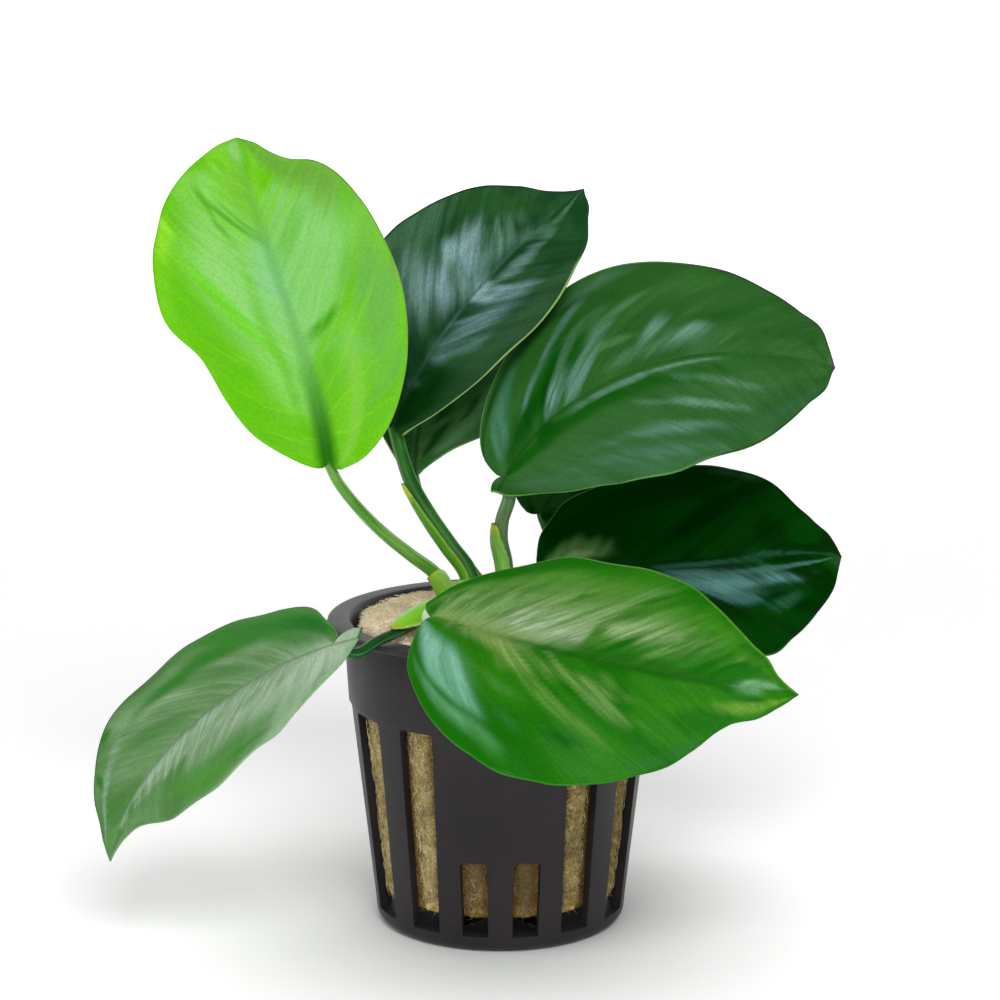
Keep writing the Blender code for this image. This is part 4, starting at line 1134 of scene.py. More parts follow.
def make_blade(number):
    blade = Blade(LEAVES[number], MARGINS.get(number, SMOOTH_MARGINS))
    name = f"blade_{number}"
    mesh, row, column = grid_mesh(name, BLADE_ROWS, 2 * BLADE_COLUMNS)
    column = BLADE_COLUMNS - column
    points = np.zeros((len(row), 3))
    flat_across = np.zeros(len(row))
    root = np.zeros(len(row))
    to_margin = np.zeros(len(row))
    for side in (-1, 1):
        mine = column * side >= 0
        edge_share = np.abs(column[mine]) / BLADE_COLUMNS
        start = blade.length * (row[mine] / BLADE_ROWS) ** VEIN_SWEEP
        outline = blade.half_outline(side, BLADE_ROWS + 1)
        margin = outline[row[mine]]
        bow = VEIN_BOW * edge_share * (1 - edge_share) * 4 * np.abs(margin[:, 1])
        along = start + edge_share * (margin[:, 0] - start) - bow
        across = edge_share * margin[:, 1]
        lobe, following = outline[[0, LOBE_ROWS]]
        away = unit(np.array([-lobe[1], lobe[0]]))
        away *= -np.sign(away @ (following - lobe))
        rounding = LOBE_ROUNDING.get((number, side), USUAL_ROUNDING) * 4 * edge_share * (1 - edge_share)
        rounding = rounding * np.exp(-((row[mine] / LOBE_ROWS) ** 2))
        along, across = along + rounding * away[0], across + rounding * away[1]
        vein = vein_root(along / blade.length, np.abs(across) / blade.length)
        lift = relief(number, vein, edge_share, np.abs(across))
        points[mine] = blade.points(side, along, across, edge_share, lift)
        flat_across[mine] = side * across
        root[mine] = vein
        to_margin[mine] = (1 - edge_share) * np.hypot(margin[:, 0] - start, margin[:, 1])
    set_points(mesh, points)
    add_uv(mesh, "veins", root, column / BLADE_COLUMNS)
    add_uv(mesh, "edges", flat_across, to_margin)
    # The leaf's colours, painted sheen and shade among them, and where the sheen is painted
    colour, painted_sheen = leaf_tone_and_light(number, points, root, column / BLADE_COLUMNS)
    tone = mesh.attributes.new("tone", "FLOAT_COLOR", "POINT")
    tone.data.foreach_set("color", np.column_stack([colour, np.ones(len(root))]).ravel())
    mesh.attributes.new("painted_sheen", "FLOAT", "POINT").data.foreach_set("value", painted_sheen)
    skins = [leaf_material(number, under) for under in (False, True)]
    slot = "young_leaf" if number == YOUNG_LEAF else "mature_leaf"
    piece = add_piece(name, mesh, skins, slot, f"leaf_{number}_blade")
    group = piece.vertex_groups.new(name="thickness")
    for value in range(BLADE_COLUMNS + 1):
        members = np.nonzero(np.abs(column) == value)[0].tolist()
        share = 1 - (1 - MARGIN_THICKNESS_SHARE) * (value / BLADE_COLUMNS) ** 3
        group.add(members, share, "REPLACE")
    shell = thicken(piece, BLADE_THICKNESS)
    shell.vertex_group = group.name
    shell.thickness_vertex_group = 0.0
    shell.material_offset = 1


def tube_mesh(name, path, radii, sides=STALK_SIDES):
    """A closed tube along a path, with a map of its length and its turn."""
    path = np.asarray(path)
    tangents = unit(np.gradient(path, axis=0))
    across = unit(np.cross(tangents[0], (0.31, 0.95, 0.05)))
    frames = []
    for tangent in tangents:
        across = unit(across - np.dot(across, tangent) * tangent)
        frames.append((across, np.cross(tangent, across)))
    count = len(path)
    mesh, row, column = grid_mesh(name, count - 1, sides)
    angle = 2 * math.pi * column / sides
    first = np.array([frame[0] for frame in frames])[row]
    second = np.array([frame[1] for frame in frames])[row]
    around = np.cos(angle)[:, None] * first + np.sin(angle)[:, None] * second
    radii = np.asarray(radii)
    radii = radii[row] if radii.ndim == 1 else radii[row, column % sides]
    set_points(mesh, path[row] + radii[:, None] * around)
    add_uv(mesh, "tube", lengths_along(path)[row], column / sides)
    weld(mesh, 1e-7, closed=True)
    return mesh


def stalk_path(number):
    """The stalk to the foot of its blade, and on below the midrib, with its radii."""
    blade = Blade(LEAVES[number])
    foot_radius, top_radius = STALKS[number].radii
    along = np.linspace(0.04, RIDGE_SHARE, 5) * blade.length
    point, _, _, face, _ = blade.frame(along)
    foot, foot_tangent, _, foot_face, _ = blade.frame(np.array([0.0]))
    top = foot[0] - STALK_GAP * foot_tangent[0] - (STALK_DEPTH + top_radius) * foot_face[0]
    sink = np.array([0.85, 0.7, 0.55, 0.4, 0.25]) * top_radius + 0.15
    ridge = point - sink[:, None] * face
    stalk = smooth_curve([*STALKS[number].path, top], STALK_POINTS)
    rest = smooth_curve([top, *ridge], RIDGE_POINTS)[1:]
    share = np.linspace(0, 1, STALK_POINTS)
    radii = foot_radius + (top_radius - foot_radius) * share + STALK_FLARE * np.exp(-share * 14)
    if number == KNEE_LEAF:
        radii = radii + KNEE_HEIGHT * smooth_step(0.8, 0.93, share) * smooth_step(1.0, 0.96, share)
    narrowing = np.linspace(1, 0.25, RIDGE_POINTS)[1:] * top_radius
    return stalk, np.concatenate([stalk, rest]), np.concatenate([radii, narrowing])


def make_stalk(number, material):
    _, path, radii = stalk_path(number)
    name = f"stalk_{number}"
    add_piece(name, tube_mesh(name, path, radii), [material], "leaf_stalk", f"leaf_{number}_stalk")


def make_sheath(number, material):
    sheath = SHEATHS[number]
    dense, _, _ = stalk_path(number)
    directions = unit(np.gradient(dense, axis=0))
    foot_radius, top_radius = STALKS[number].radii
    name = f"sheath_{number}"
    mesh, row, column = grid_mesh(name, SHEATH_ROWS, 2 * SHEATH_COLUMNS)
    share = row / SHEATH_ROWS
    turn = (column - SHEATH_COLUMNS) / SHEATH_COLUMNS
    place = sheath.start + share * (sheath.end - sheath.start)
    scale = np.linspace(0, 1, len(dense))
    centre = values_at(place, scale, dense)
    tangent = unit(values_at(place, scale, directions))
    side = np.array(sheath.side)
    outward = unit(side - (tangent @ side)[:, None] * tangent)
    beside = np.cross(tangent, outward)
    angle = np.radians(sheath.reach) * turn * np.sqrt(np.maximum(1.0 - share**4, 0.0))
    clear = foot_radius + (top_radius - foot_radius) * place + SHEATH_CLEARANCE + SHEATH_THICKNESS / 2
    clear = clear + sheath.stand * np.sin(math.pi * share)
    around = np.cos(angle)[:, None] * outward + np.sin(angle)[:, None] * beside
    set_points(mesh, centre + clear[:, None] * around)
    add_uv(mesh, "strip", share, turn)
    weld(mesh)
    thicken(add_piece(name, mesh, [material], "leaf_sheath", f"leaf_{number}_sheath"), SHEATH_THICKNESS)


def make_rhizome(material):
    path = smooth_curve(RHIZOME_PATH, RHIZOME_POINTS)
    share = np.linspace(0, 1, RHIZOME_POINTS)
    radii = np.interp(share * 3, range(4), RHIZOME_RADII)
    rounding = np.sqrt(np.clip(1 - (np.clip(np.abs(share - 0.5) * 2 - 0.8, 0, 1) / 0.2) ** 2, 0.05, 1))
    turn = np.linspace(0, 2 * math.pi, RHIZOME_SIDES, endpoint=False)[None, :]
    rings = 0.10 * np.exp(-((np.mod(share * RHIZOME_RINGS, 1.0) - 0.5) / 0.12) ** 2)
    lumps = 0.10 * np.sin(3 * turn + 5 * share[:, None]) + 0.06 * np.sin(5 * turn + 17 * share[:, None])
    ends = [end + 0.8 * unit(end - inner) for end, inner in ((path[0], path[1]), (path[-1], path[-2]))]
    path = np.stack([ends[0], *path, ends[1]])
    body = (radii * rounding)[:, None] + rings[:, None] + lumps
    body = np.concatenate([body[:1] * 0.4, body, body[-1:] * 0.4])
    mesh = tube_mesh("rhizome_body", path, body, RHIZOME_SIDES)
    add_piece("rhizome_body", mesh, [material], "rhizome_skin", "rhizome")


def stem_material(name, light, dark, spots, pale_from=None):
    """A smooth green stem: lengthwise bands, a pale ridge, small flecks and, where
    asked for, a whitish part beyond a length in millimetres."""
    light, dark, spots = srgb(*light), srgb(*dark), srgb(*spots)
    nodes = Nodes(name)
    length, turn = nodes.uv("tube")
    band = nodes.bands(length, turn, (0.12, 9.0))
    fleck = nodes.noise(nodes.place(), 1500.0)
    colour = nodes.mix(nodes.step(band, 0.35, 0.65), dark, light)
    colour = nodes.mix(nodes.step(fleck, 0.62, 0.75, 0.0, 0.35), colour, spots)
    ridge = nodes.away(nodes.math("FRACT", nodes.times(turn, 3.0)))
    colour = nodes.mix(nodes.step(ridge, 0.03, 0.12, 0.5, 0.0), colour, spots)
    if pale_from is not None:
        colour = nodes.mix(nodes.step(length, pale_from, pale_from + 2.0), colour, srgb(196, 218, 190))
    normal = nodes.bump(nodes.bands(length, turn, (0.3, 40.0), detail=2.0), 0.0001, 0.4)
    roughness = nodes.step(band, 0.3, 0.7, 0.30, 0.45)
    return nodes.finish(colour, roughness, normal, Specular_IOR_Level=0.3)


def sheath_material(number):
    """Thin green tissue with lengthwise lines, one pale rim and a worn yellow and brown tip."""
    deep, light, rim_colour, rim_side, brown_tip = SHEATH_COLOURS[number]
    nodes = Nodes(f"sheath_{number}_tissue")
    along, turn = nodes.uv("strip")
    lines = nodes.bands(along, turn, (1.5, 14.0))
    colour = nodes.mix(nodes.step(lines, 0.35, 0.65), srgb(*deep), srgb(*light))
    worn = nodes.times(nodes.noise(nodes.place(), 900.0), 0.3)
    rim = nodes.step(nodes.times(turn, rim_side), 0.62, 0.95)
    colour = nodes.mix(nodes.times(rim, 0.8), colour, srgb(*rim_colour))
    rough_rim = nodes.math("ADD", nodes.math("ABSOLUTE", turn), worn)
    colour = nodes.mix(nodes.step(rough_rim, 1.06, 1.16, 0.0, 0.8), colour, srgb(96, 92, 26))
    tip = nodes.math("ADD", along, worn)
    colour = nodes.mix(nodes.step(tip, 0.98, 1.08), colour, srgb(168, 190, 50))
    colour = nodes.mix(nodes.step(tip, 1.1, 1.2, 0.0, brown_tip), colour, srgb(92, 64, 20))
    normal = nodes.bump(lines, 0.00012, 0.5)
    return nodes.finish(colour, 0.42, normal, Specular_IOR_Level=0.35, Subsurface_Weight=0.1,
                        Subsurface_Scale=0.0006)


def rhizome_material():
    """Mottled green skin with brown ring scars."""
    nodes = Nodes("rhizome_skin_detail")
    length, _ = nodes.uv("tube")
    patches = nodes.noise(nodes.place(), 420.0, 4.0)
    colour = nodes.mix(nodes.step(patches, 0.35, 0.65), srgb(96, 140, 44), srgb(156, 196, 84))
    scar = nodes.away(nodes.math("FRACT", nodes.times(length, 0.55)))
    colour = nodes.mix(nodes.step(scar, 0.0, 0.1, 0.6, 0.0), colour, srgb(96, 84, 40))
    grain = nodes.noise(nodes.place(), 1800.0, 4.0)
    return nodes.finish(colour, nodes.step(grain, 0.3, 0.7, 0.4, 0.6), nodes.bump(grain, 0.0001, 0.5))


def body_radius(height):
    """Outer radius of the tapered pot wall below its plain band."""
    slope = (BODY_TOP_RADIUS - BODY_FOOT_RADIUS) / (SLOT_TOP_Z - SLOT_FOOT_Z)
    return BODY_FOOT_RADIUS + slope * (height - SLOT_FOOT_Z)


def arc(centre, radius, start, end, count):
    """Points of an arc in the (radius, height) plane."""
    angles = np.radians(np.linspace(start, end, count))
    return [(centre[0] + radius * math.cos(a), centre[1] + radius * math.sin(a)) for a in angles]


def pot_profile():
    """Once round the pot's wall, from the middle of its floor inside to the one outside."""
    fillet = []
    for angle in np.radians(np.linspace(0.0, 90.0, 9)):
        radius = body_radius(FILLET_TOP_Z) - FOOT_FILLET * (1 - math.cos(angle))
        fillet.append((radius, FILLET_TOP_Z * (1 - math.sin(angle))))
    lip = RIM_DEPTH / 2
    return [
        (0.0, WALL),
        (body_radius(WALL) - WALL - 0.8, WALL),
        (body_radius(SLOT_FOOT_Z) - WALL, SLOT_FOOT_Z),
        (BAND_RADIUS - WALL, POT_HEIGHT - RIM_DEPTH - 0.1),
        (RIM_INNER_RADIUS - 1.0, POT_HEIGHT - 0.5),
        *arc((RIM_INNER_RADIUS - 0.4, POT_HEIGHT - 0.5), 0.5, 160.0, 90.0, 5),
        (RIM_INNER_RADIUS + 1.0, POT_HEIGHT),
        *arc((RIM_RADIUS - lip, POT_HEIGHT - lip), lip, 90.0, -90.0, 9),
        (BAND_RADIUS + 0.4, POT_HEIGHT - RIM_DEPTH),
        *arc((BAND_RADIUS + 0.4, POT_HEIGHT - RIM_DEPTH - 0.4), 0.4, 90.0, 180.0, 4)[1:],
        (body_radius(BAND_FOOT_Z) + 0.34, BAND_FOOT_Z + 0.15),
        (body_radius(BAND_FOOT_Z) + 0.25, BAND_FOOT_Z),
        (body_radius(BAND_FOOT_Z), BAND_FOOT_Z - 0.3),
        *fillet,
        (0.0, 0.0),
    ]


def turned_mesh(name, profile, steps):
    """A turned body from (radius, height) points, as a finished mesh in metres."""
    mesh = bpy.data.meshes.new(name + "_profile")
    points = [(radius * MM, 0.0, height * MM) for radius, height in profile]
    mesh.from_pydata(points, [(i, i + 1) for i in range(len(points) - 1)], [])
    source = in_scene(name + "_profile", mesh)
    screw = source.modifiers.new("turn", "SCREW")
    screw.steps = steps
    screw.render_steps = steps
    screw.use_merge_vertices = True
    screw.merge_threshold = 0.00001
    return baked(source, name)


def baked(source, name):
    """The mesh of an object with its modifiers applied; the object is removed."""
    graph = bpy.context.evaluated_depsgraph_get()
    mesh = bpy.data.meshes.new_from_object(source.evaluated_get(graph))
    mesh.name = name
    bpy.data.objects.remove(source)
    return mesh


def tapered_box(body, angle, near, far, width_foot, width_top, lean, foot, top, corner):
    """Add a box that points outward at an angle from the front, with rounded top corners."""
    made = bmesh.ops.create_cube(body, size=1.0)["verts"]
    for vertex in made:
        width, shift, height = (width_top, -lean, top) if vertex.co.z > 0 else (width_foot, lean, foot)
        distance = near if vertex.co.y > 0 else far
        vertex.co = Vector((vertex.co.x * width + shift, -distance, height)) * MM
    if corner:
        edges = {edge for vertex in made for edge in vertex.link_edges}
        middle_z = (foot + top) / 2 * MM
        rounded = [edge for edge in edges if min(end.co.z for end in edge.verts) > middle_z
                   and abs(edge.verts[0].co.y - edge.verts[1].co.y) > 1e-4]
        result = bmesh.ops.bevel(
            body, geom=rounded, offset=corner * MM, segments=5, profile=0.5, affect="EDGES")
        bevelled = {vertex for face in result["faces"] for vertex in face.verts}
        made = list(bevelled | {vertex for vertex in made if vertex.is_valid})
    bmesh.ops.rotate(body, verts=made, matrix=Matrix.Rotation(math.radians(angle), 3, "Z"))


def slot_boxes():
    """What tapered_box needs for each slot of the wall and of the floor."""
    boxes = []
    for angle, top_width, foot_width, lean, top in SLOTS:
        for placed in sorted({angle, 180.0 - angle, 180.0 + angle, 360.0 - angle}):
            widths = (foot_width, top_width)
            away = math.copysign(lean, math.sin(math.radians(2 * placed)))
            boxes.append((placed, *WALL_SLOT_SPAN, *widths, away, SLOT_FOOT_Z, top, SLOT_CORNER))
    for index in range(FLOOR_SLOT_COUNT):
        placed = 360.0 * (index + 0.5) / FLOOR_SLOT_COUNT
        widths = (FLOOR_SLOT_WIDTH, FLOOR_SLOT_WIDTH)
        boxes.append((placed, *FLOOR_SLOT_SPAN, *widths, 0.0, -1.0, WALL + 0.5, 0.0))
    return boxes


def make_pot(material):
    cutters = bpy.data.collections.new("slot_cutters")
    bpy.context.scene.collection.children.link(cutters)
    for index, box in enumerate(slot_boxes()):
        body = bmesh.new()
        tapered_box(body, *box)
        mesh = bpy.data.meshes.new(f"slot_cutter_{index}")
        body.to_mesh(mesh)
        body.free()
        cutters.objects.link(bpy.data.objects.new(mesh.name, mesh))
    shell = in_scene("pot_blank", turned_mesh("pot_blank", pot_profile(), POT_STEPS))
    boolean = shell.modifiers.new("cut", "BOOLEAN")
    boolean.operation = "DIFFERENCE"
    boolean.solver = "EXACT"
    boolean.operand_type = "COLLECTION"
    boolean.collection = cutters
    mesh = baked(shell, "pot_shell")
    for cutter in list(cutters.objects):
        bpy.data.objects.remove(cutter)
    bpy.data.collections.remove(cutters)
    add_piece("pot_shell", mesh, [material], "pot_plastic", "net_pot")
    mesh.set_sharp_from_angle(angle=math.radians(SHARP_FROM))


def pot_material():
    """Charcoal moulded plastic: faint flow marks, dust in the grain, rounded edges and a
    painted highlight along the top of the rim.
    """
    nodes = Nodes("pot_plastic_detail")
    place = nodes.place()
    cloud = nodes.noise(place, 55.0, 4.0)
    grain = nodes.noise(place, 2200.0)
    x, y, height = nodes.parts(place)
    flow = nodes.bands(x, y, (500.0, 500.0), nodes.times(height, 30.0))
    colour = nodes.mix(nodes.step(cloud, 0.3, 0.7), srgb(41, 38, 40), srgb(50, 46, 49))
    colour = nodes.mix(nodes.step(grain, 0.6, 0.8, 0.0, 0.35), colour, srgb(72, 68, 71))
    colour = nodes.mix(nodes.step(flow, 0.55, 0.8, 0.0, 0.25), colour, srgb(57, 52, 56))
    # The top of the rim lighter: a painted highlight, uneven with the grain
    rim = nodes.times(nodes.step(height, 0.0488, 0.0502), nodes.step(grain, 0.3, 0.7, 0.45, 0.9))
    colour = nodes.mix(rim, colour, srgb(66, 63, 67))
    rounded = nodes.node("ShaderNodeBevel", samples=4)
    rounded.inputs["Radius"].default_value = 0.00022
    normal = nodes.bump(grain, 0.00005, 0.5, rounded.outputs[0])
    normal = nodes.bump(flow, 0.0001, 0.15, normal)
    roughness = nodes.step(cloud, 0.3, 0.7, 0.42, 0.54)
    return nodes.finish(colour, roughness, normal, Specular_IOR_Level=0.2)


def slot_nearness(angle, height):
    """1 behind the middle of a slot, 0 behind a rib or panel; angle in degrees from the front."""
    best = np.zeros_like(angle)
    for centre, top_width, foot_width, _, top in SLOTS:
        half = math.degrees((top_width + foot_width) / 4 / SLOT_RADIUS)
        level = smooth_step(top + 0.4, top - 0.6, height)
        for placed in {centre, 180.0 - centre, 180.0 + centre, 360.0 - centre}:
            away = np.abs((angle - placed + 180.0) % 360.0 - 180.0)
            best = np.maximum(best, level * (1 - smooth_step(half * 0.35, half * 1.05, away)))
    return best


def from_front(points):
    """Angles round the pot in degrees, from its front panel."""
    return np.degrees(np.arctan2(points[..., 0], -points[..., 1]))


def wool_radius(height):
    """Radius of the plug where the pot's tapered wall holds it."""
    radii = [body_radius(z) - WALL - WOOL_CLEARANCE for z in (WOOL_FOOT_Z, SLOT_TOP_Z)]
    return np.interp(height, (WOOL_FOOT_Z, SLOT_TOP_Z, WOOL_WIDEST_Z), (*radii, WOOL_TOP_RADIUS))


def mark_slot_light(mesh):
    """Store how open the pot is in front of each point of the wool, less behind the
    short slots; the wool's painted shade and glints follow it.
    """
    points = points_of(mesh) / MM
    slot_light = slot_nearness(from_front(points), points[:, 2])
    slot_light *= 1 - SHORT_SLOT_SHADE * smooth_step(*SHORT_SLOTS_END, np.abs(points[:, 0]))
    mesh.attributes.new("slot_light", "FLOAT", "POINT").data.foreach_set("value", slot_light)


def make_wool(material):
    shoulder_z = WOOL_TOP_Z - WOOL_SHOULDER
    inner = wool_radius(shoulder_z) - WOOL_SHOULDER
    side = [(wool_radius(z), z) for z in np.linspace(shoulder_z, WOOL_FOOT_Z + 0.6, 110)]
    shoulder = arc((inner, shoulder_z), WOOL_SHOULDER, 90.0, 0.0, 14)[:-1]
    top = [(radius, WOOL_TOP_Z) for radius in np.linspace(0.0, shoulder[0][0], 46)[:-1]]
    foot = [(radius, WOOL_FOOT_Z + 0.1) for radius in np.linspace(side[-1][0] - 0.5, 0.0, 14)]
    mesh = turned_mesh("wool_plug", [*top, *shoulder, *side, *foot], WOOL_STEPS)
    points = points_of(mesh) / MM
    radius = np.hypot(points[:, 0], points[:, 1])
    on_side = smooth_step(0.0, 1.0, (radius - wool_radius(points[:, 2]) + 1.2) / 1.2)
    on_side *= smooth_step(47.5, 44.0, points[:, 2])
    lumps = np.array([noise.fractal(Vector(p * 0.35), 1.0, 2.0, 4) for p in points])
    crumbs = np.array([noise.fractal(Vector(p * 1.7), 0.8, 2.0, 3) for p in points])
    bulge = WOOL_BULGE * slot_nearness(from_front(points), points[:, 2])
    outward = on_side * (bulge - 0.15 + 0.30 * lumps + 0.14 * crumbs)
    share = 1 + outward / np.maximum(radius, 1.0)
    points[:, :2] *= share[:, None]
    on_top = smooth_step(47.0, 49.5, points[:, 2])
    points[:, 2] += on_top * (0.25 * lumps + 0.18 * crumbs - 0.1)
    points[:, :2] *= (1 + on_top * (0.010 * lumps + 0.008 * crumbs))[:, None]
    set_points(mesh, points)
    mark_slot_light(mesh)
    add_piece("wool_plug", mesh, [material], "rockwool", "rockwool")


def fibre_mesh(name, starts, directions, outward, lengths, radii, curl, chance):
    """Many thin bent strands as one mesh, each a tube of a few sides that is held near
    the wool, with more room in front of a slot."""
    count = len(starts)
    turn = np.cross(outward, directions)
    bend = chance.normal(0.0, curl, (count, 2))
    share = np.linspace(-0.5, 0.5, FIBRE_POINTS)
    wiggle = chance.normal(0.0, 0.18, (count, FIBRE_POINTS))
    along = share[None, :] * lengths[:, None]
    sideways = bend[:, :1] * lengths[:, None] * share[None, :] ** 2 * 2 + wiggle
    lift = bend[:, 1:] * lengths[:, None] * (0.25 - share[None, :] ** 2) * 0.5
    lift = lift + chance.normal(0, 0.06, wiggle.shape)
    points = (
        starts[:, None] + along[..., None] * directions[:, None]
        + sideways[..., None] * turn[:, None] + lift[..., None] * outward[:, None]
    )
    reach = np.hypot(points[..., 0], points[..., 1])
    limit = wool_radius(points[..., 2]) + 0.25 + 0.9 * slot_nearness(from_front(points), points[..., 2])
    points[..., :2] *= np.minimum(1.0, limit / np.maximum(reach, 1.0))[..., None]
    points[..., 2] = np.maximum(points[..., 2], WOOL_FOOT_Z - 0.3)
    tangent = unit(np.gradient(points, axis=1))
    first = unit(np.cross(tangent, outward[:, None]))
    second = np.cross(tangent, first)
    width = radii[:, None] * np.sqrt(np.clip(1.0 - (2 * share[None, :]) ** 4, 0.08, 1.0))
    angles = 2 * math.pi * np.arange(FIBRE_SIDES) / FIBRE_SIDES
    rings = (
        points[:, :, None]
        + width[..., None, None] * (np.cos(angles)[:, None] * first[:, :, None]
                                    + np.sin(angles)[:, None] * second[:, :, None])
    )
    ring, corner = np.meshgrid(np.arange(FIBRE_POINTS - 1), np.arange(FIBRE_SIDES), indexing="ij")
    following = (corner + 1) % FIBRE_SIDES
    quads = np.stack([
        ring * FIBRE_SIDES + corner, ring * FIBRE_SIDES + following,
        (ring + 1) * FIBRE_SIDES + following, (ring + 1) * FIBRE_SIDES + corner,
    ], axis=-1).reshape(-1, 4)
    quads = (quads[None] + np.arange(count)[:, None, None] * FIBRE_POINTS * FIBRE_SIDES).reshape(-1, 4)
    mesh = bpy.data.meshes.new(name)
    mesh.vertices.add(rings.size // 3)
    mesh.vertices.foreach_set("co", (rings * MM).ravel())
    mesh.loops.add(quads.size)
    mesh.loops.foreach_set("vertex_index", quads.ravel())
    mesh.polygons.add(len(quads))
    mesh.polygons.foreach_set("loop_start", np.arange(len(quads)) * 4)
    mesh.update(calc_edges=True)
    mesh.validate()
    mark_slot_light(mesh)
    return mesh


def make_side_fibres(material):
    chance = np.random.default_rng(SIDE_FIBRE_SEED)
    draws = 6 * SIDE_FIBRES
    angle = chance.uniform(-180.0, 180.0, draws)
    height = chance.uniform(WOOL_FOOT_Z + 2.0, SLOT_TOP_Z + 0.5, draws)
    nearness = slot_nearness(angle, height)
    kept = chance.uniform(0, 1, draws) < 1.3 * nearness - 0.3
    angle, height, nearness = (values[kept][:SIDE_FIBRES] for values in (angle, height, nearness))
    radians = np.radians(angle)
    outward = np.stack([np.sin(radians), -np.cos(radians), 0 * radians], axis=1)
    upward = np.array([0.0, 0.0, 1.0])
    tilt = chance.normal(0.0, 0.6, len(angle)) * (0.4 + 0.6 * nearness)
    sideways = np.cross(outward, upward)
    directions = np.cos(tilt)[:, None] * upward + np.sin(tilt)[:, None] * sideways
    out = wool_radius(height) + WOOL_BULGE * nearness + chance.uniform(-0.25, 0.25, len(angle))
    starts = outward * out[:, None] + height[:, None] * upward
    lengths = chance.uniform(1.5, 5.5, len(angle))
    radii = chance.uniform(0.035, 0.07, len(angle))
    mesh = fibre_mesh("wool_side_fibres", starts, directions, outward, lengths, radii, 0.8, chance)
    add_piece("wool_side_fibres", mesh, [material], "rockwool")


def make_top_fibres(material):
    chance = np.random.default_rng(TOP_FIBRE_SEED)
    count = TOP_FIBRES
    radians = chance.uniform(0, 2 * math.pi, count)
    radius = WOOL_TOP_RADIUS * np.sqrt(chance.uniform(0, 1, count))
    place = np.stack([radius * np.cos(radians), radius * np.sin(radians)], axis=1)
    past_shoulder = np.clip(radius - WOOL_TOP_RADIUS + WOOL_SHOULDER, 0, WOOL_SHOULDER - 0.1)
    drop = WOOL_SHOULDER - np.sqrt(WOOL_SHOULDER**2 - past_shoulder**2)
    height = WOOL_TOP_Z - drop + chance.uniform(-0.15, 0.2, count)
    starts = np.column_stack([place, height])
    outward = np.tile([0.0, 0.0, 1.0], (count, 1))
    heading = chance.uniform(0, 2 * math.pi, count)
    directions = np.stack([np.cos(heading), np.sin(heading), 0 * heading], axis=1)
    lengths = chance.uniform(0.8, 2.6, count)
    radii = chance.uniform(0.035, 0.065, count)
    mesh = fibre_mesh("wool_top_fibres", starts, directions, outward, lengths, radii, 0.7, chance)
    add_piece("wool_top_fibres", mesh, [material], "rockwool")


def wool_materials():
    """Golden matted fibre at the sides, darkened by painted shade near the slots' edges,
    behind the short slots and between the curls; greyer beige on top; paler single
    fibres with painted glints.
    """
    made = []
    for name, pale in (("wool_body", 0.0), ("wool_fibre", 0.2)):
        nodes = Nodes(name)
        place = nodes.place()
        on_top = nodes.step(nodes.parts(place)[2], 0.046, 0.0488)
        clump = nodes.noise(place, 420.0, 5.0, 0.7, 1.2)
        curls = nodes.noise(place, 900.0, 3.0, 0.6, 2.5)
        grain = nodes.noise(place, 1900.0, 4.0, 0.7)
        weave = nodes.noise(place, 620.0, 2.0, 0.55, 3.0)
        seams = nodes.noise(place, 190.0, 3.0, 0.6, 1.5)
        slot_light = nodes.attribute("slot_light")
        slot_light_with_clumps = nodes.math("ADD", slot_light, nodes.times(clump, 0.9))
        colour = nodes.mix(nodes.step(clump, 0.38, 0.62), srgb(198, 160, 56), srgb(252, 224, 130))
        # Darker specks between the curls: painted shade in the gaps between fibres
        colour = nodes.mix(nodes.step(curls, 0.56, 0.40, 0.0, 0.7 - pale), colour, srgb(112, 82, 16))
        colour = nodes.mix(nodes.step(seams, 0.48, 0.36, 0.0, 0.6), colour, srgb(126, 92, 18))
        # Darker golden-brown where the pot's ribs and panels hide the wool, by the slots' edges and behind
        # the short slots: painted shade
        colour = nodes.mix(nodes.step(slot_light_with_clumps, 0.9, 1.55, 0.95, 0.0), colour, srgb(126, 90, 12))
        top = nodes.mix(nodes.step(curls, 0.40, 0.58), srgb(244, 210, 156), srgb(255, 250, 232))
        colour = nodes.mix(on_top, colour, top)
        # Pale threads with painted glints, brighter where the slots let in more light
        thread = nodes.step(nodes.away(weave), 0.04, 0.01)
        glint = nodes.times(thread, nodes.step(clump, 0.35, 0.6, 0.3, 1.0))
        glint = nodes.math("MAXIMUM", glint, nodes.step(grain, 0.5, 0.75, pale, pale + 0.35))
        glint = nodes.times(glint, nodes.step(slot_light, 0.2, 0.9, 0.35, 0.95))
        colour = nodes.mix(glint, colour, srgb(255, 248, 214))
        depth = nodes.math("MULTIPLY_ADD", on_top, -0.65, 1.0)
        normal = nodes.bump(nodes.times(grain, depth), 0.0003, 0.8)
        normal = nodes.bump(nodes.times(curls, depth), 0.0005, 0.8, normal)
        made.append(nodes.finish(colour, 0.95, normal, Specular_IOR_Level=0.15))
    return made


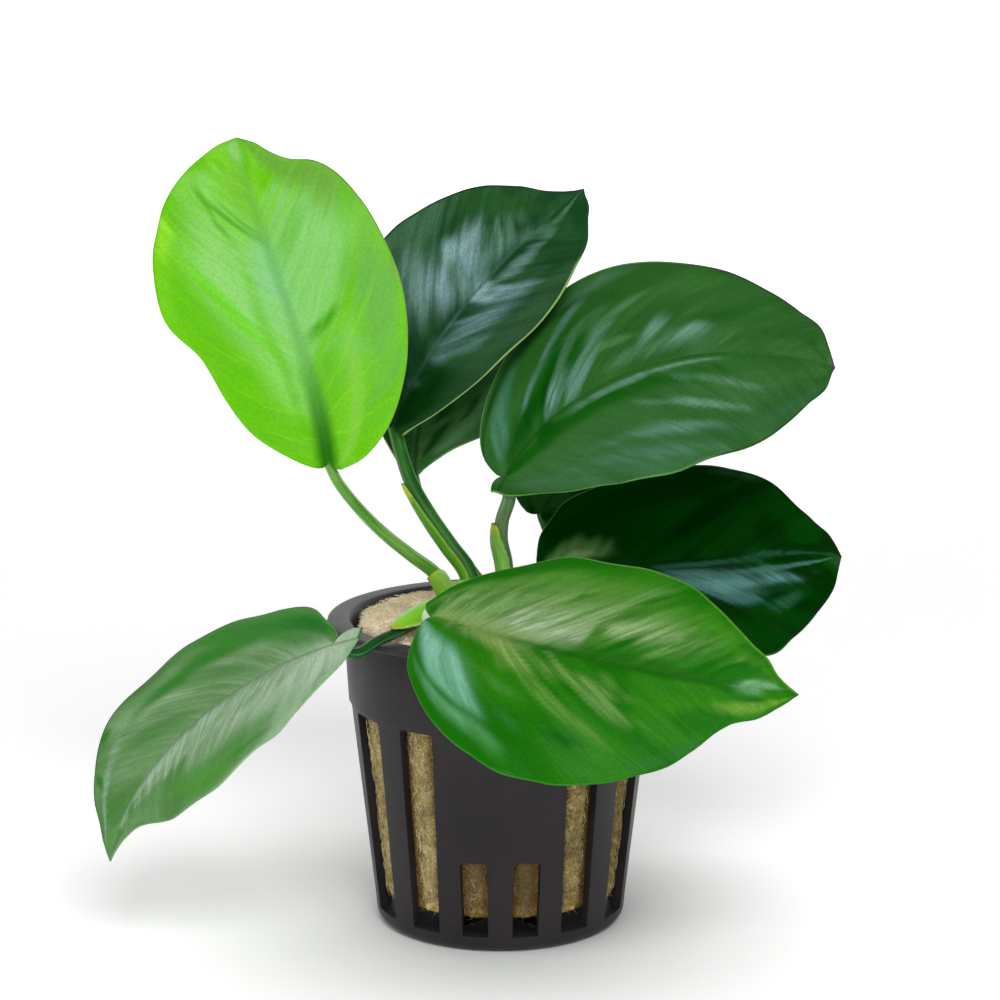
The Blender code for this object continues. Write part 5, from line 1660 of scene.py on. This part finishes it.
def make_stage():
    """A seamless pale floor that rises far behind the plant. It glows, more so farther
    back, but not under the pot, which leaves a painted shadow there.
    """
    profile = [(FLOOR_FRONT, 0.0), (FLOOR_BEND, 0.0)]
    profile += [(FLOOR_BEND + math.sin(a), 1.0 - math.cos(a)) for a in np.linspace(0.1, math.pi / 2, 12)]
    profile += [(FLOOR_BEND + 1.0, BACK_HEIGHT)]
    body = bmesh.new()
    left, right = ([body.verts.new((x, y, z)) for y, z in profile] for x in (-FLOOR_SIDE, FLOOR_SIDE))
    for index in range(len(profile) - 1):
        body.faces.new((left[index], right[index], right[index + 1], left[index + 1]))
    mesh = bpy.data.meshes.new("studio_floor")
    body.to_mesh(mesh)
    body.free()
    mesh.shade_smooth()
    nodes = Nodes("floor_paper")
    from_middle = nodes.node("ShaderNodeVectorMath", operation="LENGTH")
    nodes.link(nodes.place(), from_middle.inputs[0])
    glow = nodes.step(nodes.parts(nodes.place())[1], 0.1, 1.2, 0.3, 0.8)
    # No glow under the pot: a painted shadow beneath it
    glow = nodes.times(glow, nodes.step(from_middle.outputs["Value"], 0.018, 0.06))
    nodes.link(glow, nodes.shader.inputs["Emission Strength"])
    nodes.finish(PAPER, 0.9, Specular_IOR_Level=0.0, Emission_Color=WHITE)
    mesh.materials.append(nodes.material)
    in_scene("studio_floor", mesh)


def add_light(name, place, size, power):
    """A soft rectangular light that faces the plant."""
    data = bpy.data.lights.new(name, "AREA")
    data.shape = "RECTANGLE"
    data.size, data.size_y = size
    data.energy = power
    light = in_scene(name, data)
    light.location = place
    light.rotation_euler = (Vector(LIT_PLACE) - Vector(place)).to_track_quat("-Z", "Y").to_euler()


def make_studio():
    scene = bpy.context.scene
    world = bpy.data.worlds.new("studio")
    world.use_nodes = True
    background = world.node_tree.nodes["Background"]
    background.inputs["Color"].default_value = WHITE
    background.inputs["Strength"].default_value = WORLD_STRENGTH
    scene.world = world
    for name, light in LIGHTS.items():
        add_light(name, *light)
    camera = in_scene("camera", bpy.data.cameras.new("camera"))
    camera.data.lens = CAMERA_LENS
    camera.location = CAMERA_PLACE
    camera.rotation_euler = (math.radians(CAMERA_TILT), 0.0, 0.0)
    scene.camera = camera
    scene.view_settings.view_transform = "Standard"


def dress():
    for number in LEAVES:
        make_blade(number)
    stems = {name: stem_material(name, *look) for name, look in STEMS.items()}
    for number in STALKS:
        make_stalk(number, stems[STALK_STEMS.get(number, "stalk_dark")])
    for number in SHEATHS:
        make_sheath(number, sheath_material(number))
    make_rhizome(rhizome_material())
    make_pot(pot_material())
    wool, fibre = wool_materials()
    make_wool(wool)
    make_side_fibres(fibre)
    make_top_fibres(fibre)


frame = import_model()
dress()
make_stage()
make_studio()
